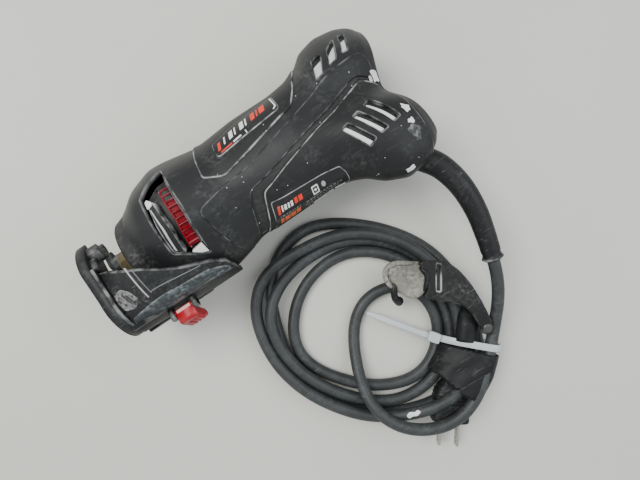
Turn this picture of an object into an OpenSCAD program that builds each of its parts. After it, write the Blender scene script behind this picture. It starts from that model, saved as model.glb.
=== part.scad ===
// Corded rotary cut-out saw (spiral saw) with a depth guide, lying on its side
// with its coiled mains lead. Millimetres, +Z up, +X along the spindle towards
// the rear of the tool, origin at the bottom centre of the tool's own box.

/* [Placing] */
// Turn of the tool about its spindle as it lies on its side, degrees
roll = 15; // [5:1:20]
// Sideways place of the spindle
spindle_y = -1; // [-4:0.5:2]
// Height of the spindle above the surface the tool lies on
spindle_z = 40.15; // [40.15:0.5:46.15]

/* [Housing] */
// Half width of the nose housing at its widest
nose_w = 41.8; // [40:0.1:42]
// Half width of the hand grip
grip_w = 35; // [34:0.5:36]
// Half width across the two rear wings
wing_w = 56.5; // [54:0.5:58]
// Rear end of the housing along the spindle
rear_x = 113; // [110:1:116]
// Wall thickness of the shells
wall = 2.6; // [2.2:0.1:3]
// Height of the joint between the two shells above the spindle
seam_z = -4; // [-6:1:-3]
// Depth of the valley between the wings at the rear
valley_depth = 12; // [6:1:14]
// Half width of that valley
valley_w = 15; // [12:1:18]
// Depth of the hollow in the rear end between the wings
notch_depth = 11; // [6:1:12]
// Half width of that hollow
notch_w = 22; // [18:1:24]

/* [Vents] */
// Front end of the vent window in the nose housing
window_x = -59; // [-60:1:-57]
// Length of the vent window along the spindle
window_l = 18; // [14:1:20]
// Inner end of the first wing slot, right wing
slot_x_right = 64; // [62:1:66]
// Inner end of the first wing slot, left wing
slot_x_left = 69; // [66:1:72]
// Distance between wing slots
slot_pitch = 9.5; // [9:0.5:11]
// Width of a wing slot
slot_w = 5; // [4:0.5:5.5]
// Number of slots in each wing
slot_count = 3; // [2:1:3]

/* [Motor] */
// Radius of the spindle
spindle_r = 4; // [3.5:0.5:4.5]
// Outside radius of the field stack
stator_r = 25; // [23:0.5:26]
// Radius of the armature stack
armature_r = 14; // [12:0.5:15]
// Length of the field and armature stacks
stack_l = 44; // [36:1:46]
// Radius of the cooling fan
fan_r = 27; // [24:0.5:27]
// Number of fan blades
fan_blades = 18; // [12:1:24]
// Outside radius of the bearings
bearing_r = 11; // [10:0.5:11]
// Width of the bearings
bearing_w = 7; // [6:0.5:8]
// Running clearance between turning and still parts
run = 0.06; // [0.03:0.01:0.09]

/* [Collet] */
// Radius of the bore that holds a cutting bit's shank
bit_r = 1.6; // [1.5:0.05:3.2]
// Width of the collet nut across its flats
nut_flats = 17; // [15:0.5:19]
// Length of the collet nut
nut_l = 9.5; // [8:0.5:10]

/* [Depth guide] */
// Outside radius of the bracket round the nose housing
guide_r = 45; // [44.8:0.1:46]
// Wall thickness of the bracket
guide_wall = 2.5; // [2.2:0.1:2.6]
// Front face of the foot plate
foot_x = -113; // [-116:1:-112]
// Thickness of the foot plate
foot_t = 6; // [4:0.5:7]
// Radius of the gap in the foot plate that the bit passes through
foot_gap_r = 14; // [12.5:0.5:16]
// Width of the red lock lever along the spindle
lever_w = 12; // [10:1:14]

/* [Switch] */
// Length of the on-off slider
slider_l = 16; // [12:1:20]
// Travel of the on-off slider
slider_travel = 6; // [4:0.5:7]
// Travel of the spindle lock button
lock_travel = 4; // [3:0.5:5]

/* [Lead] */
// Diameter of the mains lead
cord_d = 8.4; // [7:0.1:9]
// Outside radius of the coil of lead
coil_r = 84; // [80:1:86]
// Inside radius of the coil of lead
coil_hole_r = 42; // [38:1:46]
// Height of the coil of lead
coil_h = 26; // [24:1:28]
// Radius of the cord guard where it leaves the housing
guard_r = 8.8; // [8:0.1:9.5]
// Radius of the cord guard at its thin end
guard_tip_r = 6.2; // [5.8:0.1:6.6]

/* [Hidden] */

$fn = 64;
eps = 0.01;
// Colours
black_plastic = "#2a2c2d";
dark_plastic = "#1d1f20";
rubber = "#303233";
steel = "#9a9da0";
brass = "#a8894a";
copper = "#a5622f";
red_plastic = "#c0182a";
tie_white = "#d5d8da";
// Housing sections: place, half width, height above and depth below the
// spindle, depth of the valley as a share of the whole, and how much wider the
// section is at its top than at the spindle
nose_x = -78;
housing_sections = [
    [nose_x, 29, 30, 28.2, 0, 0], [-66, 37, 40, 34, 0, 0],
    [-50, nose_w, 45.5, 37.5, 0, 0], [-40, nose_w - 0.8, 45, 37, 0, 0],
    [-26, grip_w + 3, 41.5, 33.5, 0, 0.03], [-14, grip_w - 0.5, 38.5, 31, 0, 0.12],
    [10, grip_w, 37, 30, 0, 0.28], [38, grip_w - 0.3, 36, 30, 0, 0.3],
    [52, grip_w + 1.6, 36, 31.5, 0.17, 0.3], [62, wing_w - 15, 36, 34, 0.33, 0.3],
    [70, wing_w - 6.5, 36, 37, 0.5, 0.25], [84, wing_w, 35, 39.5, 0.75, 0.12],
    [98, wing_w - 2.5, 31, 38.5, 0.92, 0.2], [108, wing_w - 7.5, 26, 33, 1, 0.3],
    [rear_x, wing_w - 14.5, 20, 24, 1, 0.3]];
shoulder_z = 37;
ring_sides = 32;
corner_power = 10;
corner_cut = 0.735;
// Motor places
collar_x = -88;
collar_r = 25.5;
front_bearing_x = -86;
fan_x = -74;
stack_x = -32;
field_slot_w = 18;
field_slot_z = 17.5;
commutator_x = 24;
brush_l = 8;
brush_w = 6;
rear_bearing_x = 44;
spindle_end_x = 52;
spindle_nose_x = -96;
spindle_nose_r = 6;
nut_x = -99;
collet_x = nut_x + 1.6;
collet_l = 7.2;
collet_r = 4;
lock_x = -71.5;
lock_r = 2.5;
// Depth guide places: bracket sections hold place, half height and half
// angle of the wrap, about an axis a little above the spindle
plate_t = 0.8;
guide_z = 4;
guide_sections = [
    [foot_x + foot_t, 20, 84], [-100, 25, 79], [-93, 31, 71],
    [-86, 38.5, 64], [-77, guide_r, 56], [-69, guide_r, 48],
    [-61, guide_r, 41], [-52, guide_r, 35], [-43, guide_r, 29],
    [-37, guide_r, 21], [-35.4, guide_r, 10]];
guide_steps = 16;
rail_x = -87;
rail_l = 27;
rail_h = 8;
rail_in = 20;
rail_out = 41;
runner_l = 48;
runner_w = 6;
runner_t = 2.8;
foot_screw_y = -38;
foot_screw_z = [guide_z - 11.2, guide_z + 11.2];
foot_screw_r = 1.7;
lever_x = -82.4;
lever_pivot_y = -48.6;
lever_pivot_z = 8;
lever_gap = 0.3;
lug_t = 3;
pin_r = 1.5;
// Switch and rear fittings
slider_x = 74;
slider_w = 9;
slider_z = -35.5;
clamp_x = 82;
clamp_z = -8;
clamp_screw_y = [-18, 0];
clamp_screw_r = 1.6;
// Vent window and slots: slot run across the wing and its slant
slot_in = 17.5;
slot_run = 15.5;
slot_slant = 8.5;
window_z = 14;
slot_z = 10;
// Housing screws: place along the spindle and sideways
screw_places = [[-67, 29], [-67, -29], [21, 26.5], [21, -26.5], [56, 28],
    [56, -28], [98, 36], [100, -16]];
screw_z = -10;
screw_r = 1.7;
screw_l = 21;
screw_head_r = 3.2;
screw_head_h = 2.4;
boss_r = 3.8;
// Routes of the lead, chosen by hand
guard_route = [[90, -38, 42], [99, -50, 42], [106, -61, 42],
    [110, -78, 42], [110, -97, 40], [107, -115, 37], [103, -132, 34]];
cord_route = [[103, -132, 34], [101, -140.5, 32.5], [98, -149, 29.5],
    [94, -157, 26], [89, -165.5, 22], [82, -174, 18]];
coil_c = [11, -130];
coil_edge_r = 9;
bundle_turn = -42;
tie_w = 5;
tie_t = 1.2;
tie_tail_l = 42;
plug_c = [29, -203];
plug_turn = 232;
plug_w = 27;
plug_h = 17;
plug_l = 32;
blade_gap = 12.7;
blade_w = 6.3;
blade_t = 1.5;
blade_l = 17;
blade_hole_r = 1.5;
// Wrench holder: knobs of its head (place and radius) and outline of its strap
holder_knobs = [[44, -100, 6], [58, -104, 6], [57, -114, 5], [46, -113, 5]];
holder_strap = [[60, -98], [76, -110], [84, -130], [84, -150], [78, -172],
    [70, -172], [70, -150], [66, -134], [58, -124]];
holder_z = 16;
strap_t = 3;

// ---- Helpers ----

// Places a shape drawn about the spindle into the row frame
module tool() {
    translate([0, spindle_y, spindle_z]) rotate([-roll, 0, 0]) children();
}

// Turns a shape drawn along Z to lie along X, its base at x
module along_x(x) {
    translate([x, 0, 0]) rotate([0, 90, 0]) children();
}

module rod(x, l, r) {
    along_x(x) cylinder(r = r, h = l);
}

module tube(x, l, r, hole) {
    along_x(x) difference() {
        cylinder(r = r, h = l);
        translate([0, 0, -eps]) cylinder(r = hole, h = l + 2 * eps);
    }
}

// A value of the housing sections at any place along the spindle
function section(i, x) = lookup(x, [for (s = housing_sections) [s[0], s[i]]]);

// Eight-sided outline with soft corners, for a unit size
function soft_octagon(a) =
    let (c = cos(a), s = sin(a), p = corner_power,
        d = pow(abs(c + s) * corner_cut, p) + pow(abs(c - s) * corner_cut, p),
        r = pow(pow(abs(c), p) + pow(abs(s), p) + d, -1 / p))
    [r * c, r * s];

// Point of the housing's skin. The shoulders widen it upwards, and its rear
// end is hollow between the wings
function skin_point(x, a, inset) =
    let (u = soft_octagon(a), up = u[1] > 0,
        z = (section(up ? 2 : 3, x) - inset) * u[1],
        y = (section(1, x) - inset) * u[0] * (1 + section(5, x) * z / shoulder_z),
        dip = valley_depth * section(4, x) * exp(-pow(y / valley_w, 2)),
        back = notch_depth * section(4, x) * exp(-pow(y / notch_w, 2)))
    [x - back, y, up ? z - dip * min(1, u[1] * 2) : z];

// Closed solid through rings of equal, even length. Each cap is a strip between
// the first and second half of its ring, so a crescent keeps its hollow side
module loft(rings) {
    n = len(rings[0]);
    m = len(rings);
    points = [for (r = rings) each r];
    sides = [for (i = [0:m - 2], k = [0:n - 1])
        let (a = i * n + k, b = i * n + (k + 1) % n)
        each [[a, b, b + n], [a, b + n, a + n]]];
    last = (m - 1) * n;
    caps = [for (k = [0:n / 2 - 2])
        let (a = k, b = k + 1, c = n - 2 - k, d = n - 1 - k)
        each [[a, c, b], [a, d, c], [last + a, last + b, last + c],
            [last + a, last + c, last + d]]];
    polyhedron(points, concat(sides, caps));
}

// The housing's form between two places, drawn in by inset
module housing_form(inset, x0, x1) {
    inner = [for (s = housing_sections) if (s[0] > x0 && s[0] < x1) s[0]];
    xs = concat([x0], inner, [x1]);
    loft([for (x = xs)
        [for (k = [0:ring_sides - 1]) skin_point(x, -k * 360 / ring_sides, inset)]]);
}

module housing_shell() {
    difference() {
        housing_form(0, nose_x, rear_x);
        housing_form(wall, nose_x - eps, rear_x - wall);
    }
}

// Half space above (1) or below (-1) the joint between the shells
module seam_half(side) {
    size = 300;
    top = side > 0 ? seam_z : seam_z - size;
    translate([-size / 2, -size / 2, top]) cube(size);
}

// Outline of one wing slot, seen from above
module slot_outline(x, side) {
    polygon([[x, side * slot_in], [x + slot_w, side * slot_in],
        [x + slot_w + slot_slant, side * (slot_in + slot_run)],
        [x + slot_slant, side * (slot_in + slot_run)]]);
}

module screw_bosses(z, h) {
    for (p = screw_places) translate([p[0], p[1], z]) cylinder(r = boss_r, h = h);
}

module screw_holes(r) {
    for (p = screw_places) translate([p[0], p[1], -40]) cylinder(r = r, h = 52);
}

// Tapered or plain tube swept along a route of points
module sweep(route, r0, r1, sides) {
    n = len(route);
    loft([for (i = [0:n - 1])
        let (a = route[max(0, i - 1)], b = route[min(n - 1, i + 1)],
            t = (b - a) / norm(b - a),
            u0 = cross([0, 0, 1], t), u = u0 / norm(u0), w = cross(t, u),
            r = r0 + (r1 - r0) * i / (n - 1))
        [for (k = [0:sides - 1])
            route[i] + r * (cos(k * 360 / sides) * u - sin(k * 360 / sides) * w)]]);
}

// ---- Housing ----

module housing_upper() {
    color(black_plastic) tool() difference() {
        union() {
            intersection() {
                housing_shell();
                seam_half(1);
            }
            intersection() {
                housing_form(wall / 2, nose_x, rear_x);
                screw_bosses(seam_z, 60);
            }
        }
        translate([window_x, 0, window_z]) linear_extrude(50)
            polygon([[0, 13], [window_l, 23], [window_l, -31], [1, -24]]);
        for (i = [0:slot_count - 1]) translate([0, 0, slot_z]) {
            linear_extrude(40) slot_outline(slot_x_right + i * slot_pitch, -1);
            linear_extrude(40) slot_outline(slot_x_left + i * slot_pitch, 1);
        }
        screw_holes(screw_r);
        guard_socket();
    }
}

module housing_lower() {
    color(black_plastic) tool() difference() {
        union() {
            intersection() {
                housing_shell();
                seam_half(-1);
            }
            intersection() {
                housing_form(wall / 2, nose_x, rear_x);
                screw_bosses(-50, 50 + seam_z);
            }
        }
        screw_holes(screw_r);
        for (p = screw_places) translate([p[0], p[1], -60])
            cylinder(r = screw_head_r + 0.3, h = 60 + screw_z);
        translate([slider_x - slider_travel - 1, -slider_w / 2 + 1, -50])
            cube([slider_l + slider_travel + 1, slider_w - 2, 30]);
        translate([lock_x, 0, -50]) cylinder(r = lock_r + 1.3, h = 30);
        guard_socket();
    }
}

// Round opening for the cord guard in the right wing
module guard_socket() {
    rotate([roll, 0, 0]) translate([0, -spindle_y, -spindle_z])
        sweep([for (i = [0:3]) guard_route[i]], guard_r + 0.4, guard_r + 0.2, 24);
}

module nose_collar() {
    color(dark_plastic) tool() difference() {
        along_x(collar_x) rotate_extrude() polygon([
            [bearing_r - 2, 0], [collar_r - 1.5, 0], [collar_r, 1.5],
            [28.2, 10], [24.5, 10], [24.5, 15], [bearing_r + 3, 15],
            [bearing_r + 3, 10], [bearing_r, 10], [bearing_r, 2], [bearing_r - 2, 2]]);
        translate([lock_x, 0, -40]) cylinder(r = lock_r + 0.4, h = 40);
    }
}

module vent_ring() {
    ribs = 44;
    rib_w = 1;
    ring_r = 35.4;
    hoop_l = 1.6;
    hoop_t = 3.4;
    hoop_pitch = 9;
    front = -54;
    color(red_plastic) tool() translate([0, 0, guide_z]) {
        for (x = [front, front + hoop_pitch]) tube(x, hoop_l, ring_r, ring_r - hoop_t);
        for (i = [0:ribs - 1]) rotate([i * 360 / ribs, 0, 0])
            translate([front + 1, -rib_w / 2, ring_r - 3]) cube([hoop_pitch - 0.5, rib_w, 2.6]);
    }
}

// ---- Name and rating plates ----

// Thin skin that lies on the housing, kept where it meets the children
module skin_patch() {
    intersection() {
        difference() {
            housing_form(-plate_t, -20, 60);
            housing_form(0, -20 - eps, 60 + eps);
        }
        children();
    }
}

module badge_plate() {
    color(dark_plastic) tool() skin_patch() translate([0, 0, 15]) linear_extrude(40)
        polygon([[-8, 6], [39, 11], [40, 27], [-8, 21]]);
}

module rating_plate() {
    color(dark_plastic) tool() skin_patch() rotate([90, 0, 0]) linear_extrude(50)
        polygon([[3, 20], [49, 17], [52, 8], [52, 2], [-4, -1]]);
}

// ---- Motor ----

// Sleeve round the field stack, with a flange in front of it
module motor_plate() {
    plate_x = -41;
    sleeve_r = stator_r + 1;
    color(dark_plastic) tool() {
        tube(plate_x, 2.5, sleeve_r, stator_r - 5);
        tube(plate_x, 45, sleeve_r, stator_r);
    }
}

module field_stack() {
    air_gap = 0.7;
    pocket = [stack_l + 2, field_slot_w, 7];
    color(steel) tool() difference() {
        rod(stack_x, stack_l, stator_r);
        rod(stack_x - 1, stack_l + 2, armature_r + air_gap);
        for (side = [-1, 1]) translate([stack_x - 1, -pocket[1] / 2, side * field_slot_z - pocket[2] / 2])
            cube(pocket);
    }
}

module field_coils() {
    overhang = 6;
    wire = 4.5;
    coil = [stack_l + 2 * overhang, field_slot_w - 1, 5.4];
    color(copper) tool() for (side = [-1, 1])
        translate([stack_x - overhang, -coil[1] / 2, side * field_slot_z - coil[2] / 2]) difference() {
            cube(coil);
            translate([wire, wire, -1]) cube([coil[0] - 2 * wire, coil[1] - 2 * wire, coil[2] + 2]);
        }
}

module armature_stack() {
    teeth = 12;
    color(steel) tool() difference() {
        rod(stack_x, stack_l, armature_r);
        rod(stack_x - 1, stack_l + 2, spindle_r);
        for (i = [0:teeth - 1]) rotate([i * 360 / teeth, 0, 0])
            translate([stack_x - 1, -0.8, armature_r - 3]) cube([stack_l + 2, 1.6, 4]);
    }
}

module armature_winding() {
    wind_r = 11;
    color(copper) tool() {
        tube(stack_x - 6, 6, wind_r, spindle_r);
        tube(stack_x + stack_l, 8, wind_r, spindle_r);
    }
}

module commutator() {
    bars = 24;
    color(copper) tool() difference() {
        union() {
            rod(commutator_x, 14, 9);
            rod(commutator_x, 2, 10.5);
        }
        rod(commutator_x - 1, 16, spindle_r);
        for (i = [0:bars - 1]) rotate([i * 360 / bars, 0, 0])
            translate([commutator_x + 2.5, -0.2, 8.2]) cube([12, 0.4, 3]);
    }
}

module cooling_fan() {
    blade_h = 9;
    color(dark_plastic) tool() difference() {
        union() {
            rod(fan_x + 6, 8 + blade_h, 8);
            rod(fan_x + 14, 1.6, fan_r);
            for (i = [0:fan_blades - 1]) rotate([i * 360 / fan_blades, 0, 0])
                translate([fan_x + 15, -0.6, 10]) cube([blade_h - 1, 1.2, fan_r - 11]);
        }
        rod(fan_x, 30, spindle_r);
    }
}

module spindle() {
    color(steel) tool() difference() {
        union() {
            rod(collar_x, spindle_end_x - collar_x, spindle_r);
            rod(spindle_nose_x, collar_x - spindle_nose_x, spindle_nose_r);
        }
        rod(spindle_nose_x - 1, collar_x - spindle_nose_x - 1, collet_r);
        rod(collar_x - 3, 14, bit_r + 0.2);
        for (a = [0, 90]) rotate([a, 0, 0]) translate([lock_x, 0, -10])
            cylinder(r = lock_r + 0.3, h = 20);
    }
}

module bearing(x, w) {
    tube(x, w, bearing_r, spindle_r + run);
}

module front_bearing() {
    color(steel) tool() bearing(front_bearing_x, bearing_w);
}

module rear_bearing() {
    color(steel) tool() bearing(rear_bearing_x, bearing_w);
}

module bearing_bush() {
    color(rubber) tool() difference() {
        rod(rear_bearing_x - 0.5, bearing_w + 3, bearing_r + 3);
        rod(rear_bearing_x - 1, bearing_w + 1, bearing_r);
        rod(rear_bearing_x, bearing_w + 5, spindle_r + 2);
    }
}

// Places a shape drawn up from the commutator at both brushes
module both_brushes() {
    for (a = [90, 270]) rotate([a, 0, 0]) translate([commutator_x + 8, 0, 0]) children();
}

module brush_holders() {
    base_z = 11;
    color(brass) tool() both_brushes() difference() {
        translate([-brush_l / 2 - 1, -brush_w / 2 - 1, base_z]) cube([brush_l + 2, brush_w + 2, 17]);
        translate([-brush_l / 2, -brush_w / 2, base_z - 1]) cube([brush_l, brush_w, 17]);
    }
}

module carbon_brushes() {
    gap = 0.2;
    color("#3a3a3c") tool() both_brushes() translate([gap - brush_l / 2, gap - brush_w / 2, 9.3])
        cube([brush_l - 2 * gap, brush_w - 2 * gap, 9]);
}

module brush_springs() {
    turns = 5;
    pitch = 1.6;
    color(steel) tool() both_brushes() for (i = [0:turns - 1])
        translate([0, 0, 19 + i * pitch]) rotate_extrude($fn = 24)
            translate([2, 0]) circle(r = 0.5, $fn = 13);
}

// ---- Switch, lock and lead fittings ----

module switch_body() {
    size = [26, 18, 16];
    bottom = -27;
    color(dark_plastic) tool() translate([slider_x - 4, -size[1] / 2, bottom]) cube(size);
}

module switch_slider() {
    side_gap = 1.4;
    ridge_pitch = 3;
    color(red_plastic) tool() translate([slider_x, -slider_w / 2 + side_gap, slider_z]) {
        translate([0, 0, -3]) cube([slider_l - 1, slider_w - 2 * side_gap, 6]);
        for (i = [0:3]) translate([2 + i * ridge_pitch, 0.6, -4.6])
            cube([ridge_pitch / 2, slider_w - 2 * side_gap - 1.2, 2]);
    }
}

module capacitor() {
    size = [20, 14, 9];
    color("#c9b458") tool() translate([54, -size[1] / 2, -7]) cube(size);
}

module cord_clamp() {
    size = [8, 26, 5];
    color(dark_plastic) tool() difference() {
        translate([clamp_x - size[0] / 2, clamp_screw_y[0] - 4, clamp_z]) cube(size);
        for (y = clamp_screw_y) translate([clamp_x, y, clamp_z - 2])
            cylinder(r = clamp_screw_r, h = size[2] + 4);
    }
}

module clamp_screws() {
    shank_l = 6;
    color(steel) tool() for (y = clamp_screw_y) translate([clamp_x, y, clamp_z - 1]) {
        cylinder(r = clamp_screw_r, h = shank_l);
        translate([0, 0, shank_l]) cylinder(r = clamp_screw_r + 1.2, h = 2);
    }
}

module housing_screws() {
    color(steel) tool() for (p = screw_places) translate([p[0], p[1], screw_z]) {
        cylinder(r = screw_r, h = screw_l);
        translate([0, 0, -screw_head_h]) cylinder(r = screw_head_r, h = screw_head_h);
    }
}

module spindle_lock() {
    stem_z = -34;
    cap_z = -36;
    rest_gap = 0.5;
    color(dark_plastic) tool() translate([lock_x, 0, 0]) {
        translate([0, 0, stem_z]) cylinder(r = lock_r, h = -stem_z - spindle_r - rest_gap);
        translate([0, 0, cap_z]) cylinder(r = lock_r + 1, h = 6);
    }
}

// ---- Collet ----

module collet() {
    color(steel) tool() tube(collet_x, collet_l, collet_r, bit_r);
}

module collet_nut() {
    flats_r = nut_flats / 2;
    lip = 1.4;
    color(brass) tool() difference() {
        intersection() {
            along_x(nut_x) cylinder(r = nut_flats / sqrt(3), h = nut_l, $fn = 6);
            along_x(nut_x) cylinder(r1 = flats_r - 0.3, r2 = flats_r + 7, h = nut_l);
        }
        rod(nut_x - 1, nut_l + 2, collet_r - 0.8);
        rod(nut_x + lip, nut_l, collet_r + run);
        rod(spindle_nose_x - 0.4, nut_l, spindle_nose_r + run);
    }
}

// ---- Depth guide ----

// Rail on the nose housing that the bracket slides along
module guide_rail() {
    gap = 0.2;
    cone_r = 31.2;
    color(dark_plastic) tool() difference() {
        translate([rail_x, -rail_out, guide_z - rail_h])
            cube([rail_l, rail_out - rail_in, 2 * rail_h]);
        housing_form(0, nose_x - eps, rear_x);
        rod(collar_x - 20, 30, collar_r + gap);
        along_x(collar_x) cylinder(r1 = collar_r + gap, r2 = cone_r, h = nose_x - collar_x + eps);
    }
}

function guide_ring(s, inset) =
    [for (k = [0:guide_steps])
        let (a = s[2] * (1 - 2 * k / guide_steps))
        [s[0], -(guide_r - inset) * cos(a), guide_z + (s[1] - inset) * sin(a)]];

function reversed(v) = [for (i = [len(v) - 1:-1:0]) v[i]];

module guide_bracket() {
    color(black_plastic) tool() {
        loft([for (s = guide_sections)
            concat(reversed(guide_ring(s, 0)), guide_ring(s, guide_wall))]);
        for (side = [-1, 1]) difference() {
            translate([foot_x + foot_t, -guide_r + 1, guide_z + side * (rail_h + 1.8) - runner_t / 2])
                cube([runner_l, runner_w, runner_t]);
            housing_form(-1, nose_x - 3, rear_x);
        }
        lever_lugs();
    }
}

module at_lever_pivot() {
    translate([0, lever_pivot_y, lever_pivot_z]) children();
}

// Two ears on the bracket that hold the lever's pin
module lever_lugs() {
    lug_h = 6.8;
    lug_reach = 8;
    for (x = [lever_x - lug_t - lever_gap, lever_x + lever_w + lever_gap]) at_lever_pivot() difference() {
        translate([x, -lug_h / 2, -lug_h / 2]) cube([lug_t, lug_reach, lug_h]);
        rod(x - 1, lug_t + 2, pin_r);
    }
}

// Open ring on the work, with a round gap for the bit and a lug at its end
module foot_plate() {
    foot_r = 27;
    low_r = 22;
    lug_y = 12;
    lug_r = 6;
    color(black_plastic) tool() difference() {
        union() {
            along_x(foot_x) linear_extrude(foot_t) hull() {
                translate([-guide_z, -3]) circle(r = foot_r);
                translate([-guide_z, -22]) circle(r = low_r);
            }
            translate([0, lug_y, guide_z - 18]) rod(foot_x, foot_t + 8, lug_r);
        }
        rod(foot_x - 1, foot_t + 2, foot_gap_r);
        translate([foot_x - 1, 0, -9]) cube([foot_t + 12, 40, 22]);
        for (z = foot_screw_z) translate([0, foot_screw_y, z])
            rod(foot_x - 1, foot_t + 2, foot_screw_r);
    }
}

module foot_screws() {
    color(steel) tool() for (z = foot_screw_z) translate([0, foot_screw_y, z])
        rod(foot_x + 1, foot_t - 1, foot_screw_r);
}

module lever_pin() {
    end = lug_t + lever_gap;
    color(steel) tool() at_lever_pivot() rod(lever_x - end, lever_w + 2 * end, pin_r);
}

module lock_lever() {
    paddle_y = -7.2;
    hub_r = 3;
    paddle_t = 6.4;
    paddle_h = 21;
    color(red_plastic) tool() at_lever_pivot() difference() {
        union() {
            rod(lever_x, lever_w, hub_r);
            translate([lever_x, paddle_y, 2 - paddle_h]) cube([lever_w, paddle_t, paddle_h]);
            translate([lever_x, paddle_y, -hub_r]) cube([lever_w, 8.5, 5]);
        }
        rod(lever_x - 1, lever_w + 2, pin_r + run);
    }
}

// ---- Lead ----

module cord_guard() {
    color(rubber) sweep(guard_route, guard_r, guard_tip_r, 16);
}

module cord_tube() {
    color(rubber) sweep(cord_route, cord_d / 2, cord_d / 2, 10);
}

// Section of the coil with rounded edges, from one radius to another
module coil_section(r0, r1, h) {
    e = coil_edge_r;
    translate([r0, 0]) hull() for (x = [e, r1 - r0 - e], z = [e, h - e])
        translate([x, z]) circle(r = e, $fn = 24);
}

module cord_coil() {
    color(rubber) translate([coil_c[0], coil_c[1], 0])
        rotate_extrude() coil_section(coil_hole_r, coil_r, coil_h);
}

module cord_wrap() {
    arc = 24;
    color(dark_plastic) translate([coil_c[0], coil_c[1], 0])
        rotate([0, 0, bundle_turn - arc - 4]) rotate_extrude(angle = arc) intersection() {
            difference() {
                coil_section(coil_hole_r - 1, coil_r + 1, coil_h + 1);
                coil_section(coil_hole_r, coil_r, coil_h);
            }
            square([200, 60]);
        }
}

module cable_tie() {
    reach = coil_r - coil_hole_r;
    head = [5, 8, 7];
    tail_w = 4;
    color(tie_white) translate([coil_c[0], coil_c[1], 0]) rotate([0, 0, bundle_turn]) {
        translate([coil_hole_r - tie_t, -tie_w / 2, 0]) difference() {
            cube([reach + 2 * tie_t, tie_w, coil_h + tie_t]);
            translate([tie_t, -1, tie_t]) cube([reach, tie_w + 2, coil_h - tie_t]);
        }
        translate([coil_hole_r - head[0], -head[1] / 2, coil_h - 5]) cube(head);
        translate([coil_hole_r - head[0] + 1 - tie_tail_l, -tail_w / 2, coil_h])
            cube([tie_tail_l, tail_w, tie_t]);
    }
}

module wrench_holder() {
    color("#55564f") {
        translate([0, 0, holder_z]) linear_extrude(coil_h - holder_z + strap_t)
            hull() for (k = holder_knobs) translate([k[0], k[1]]) circle(r = k[2]);
        translate([0, 0, coil_h]) linear_extrude(strap_t) polygon(holder_strap);
    }
}

module plug_body() {
    corner = 3;
    taper = 0.8;
    front_l = 6;
    back_l = 4;
    color(rubber) translate([plug_c[0], plug_c[1], 0]) rotate([0, 0, plug_turn])
        hull() for (y = [corner - plug_w / 2, plug_w / 2 - corner]) {
            translate([plug_l / 2 - front_l, y, 0]) cube([front_l, 1, plug_h]);
            translate([-plug_l / 2, y * taper, corner]) cube([back_l, 1, plug_h - 2 * corner]);
        }
}

module plug_blades() {
    color(brass) translate([plug_c[0], plug_c[1], plug_h / 2]) rotate([0, 0, plug_turn])
        for (y = [-blade_gap / 2, blade_gap / 2]) difference() {
            translate([plug_l / 2, y - blade_t / 2, -blade_w / 2])
                cube([blade_l, blade_t, blade_w]);
            translate([plug_l / 2 + blade_l - 4, y + 2, 0]) rotate([90, 0, 0])
                cylinder(r = blade_hole_r, h = 4);
        }
}

housing_upper();
housing_lower();
nose_collar();
vent_ring();
badge_plate();
rating_plate();
motor_plate();
field_stack();
field_coils();
armature_stack();
armature_winding();
commutator();
cooling_fan();
spindle();
front_bearing();
rear_bearing();
bearing_bush();
brush_holders();
carbon_brushes();
brush_springs();
switch_body();
switch_slider();
capacitor();
cord_clamp();
clamp_screws();
housing_screws();
spindle_lock();
collet();
collet_nut();
guide_rail();
guide_bracket();
foot_plate();
foot_screws();
lever_pin();
lock_lever();
cord_guard();
cord_tube();
cord_coil();
cord_wrap();
cable_tie();
wrench_holder();
plug_body();
plug_blades();
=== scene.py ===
import math

import bmesh
import bpy
import numpy as np
from mathutils.geometry import delaunay_2d_cdt
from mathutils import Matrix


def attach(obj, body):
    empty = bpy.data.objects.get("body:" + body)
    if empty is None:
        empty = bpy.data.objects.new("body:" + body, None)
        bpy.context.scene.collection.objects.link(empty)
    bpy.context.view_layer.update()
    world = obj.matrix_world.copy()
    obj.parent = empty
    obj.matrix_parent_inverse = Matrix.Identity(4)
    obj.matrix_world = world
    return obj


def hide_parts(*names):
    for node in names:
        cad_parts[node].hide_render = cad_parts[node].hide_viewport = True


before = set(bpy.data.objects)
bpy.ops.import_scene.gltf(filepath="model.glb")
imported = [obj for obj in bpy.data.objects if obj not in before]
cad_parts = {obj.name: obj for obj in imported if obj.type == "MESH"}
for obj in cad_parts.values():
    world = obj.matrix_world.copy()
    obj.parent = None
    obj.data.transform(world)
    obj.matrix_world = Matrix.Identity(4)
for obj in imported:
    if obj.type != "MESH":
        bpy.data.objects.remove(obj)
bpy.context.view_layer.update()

# Everything below is drawn in millimetres and scaled to metres when a mesh is made.
MM = 0.001

# ---- The tool's own frame: x along the spindle, y to the left, z to the label side ----

ROLL = math.radians(15)
SPINDLE = np.array([0.0, -1.0, 40.15])


def to_row(p):
    """Tool frame to row frame, both in mm."""
    p = np.atleast_2d(np.asarray(p, float))
    c, s = math.cos(ROLL), math.sin(ROLL)
    return np.stack([p[:, 0], p[:, 1] * c + p[:, 2] * s, p[:, 2] * c - p[:, 1] * s], 1) + SPINDLE


def unit(vectors):
    return vectors / np.linalg.norm(vectors, axis=-1, keepdims=True)


def link(made):
    bpy.context.scene.collection.objects.link(made)


# ---- Camera, over the object, looking straight down ----


def make_camera():
    data = bpy.data.cameras.new("camera")
    data.lens, data.sensor_width = 27, 36
    camera = bpy.data.objects.new("camera", data)
    camera.location = (0.015, -0.057, 0.352)
    camera.rotation_euler = (0, 0, math.radians(-34))
    link(camera)
    bpy.context.scene.camera = camera


# ---- Materials ----


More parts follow.
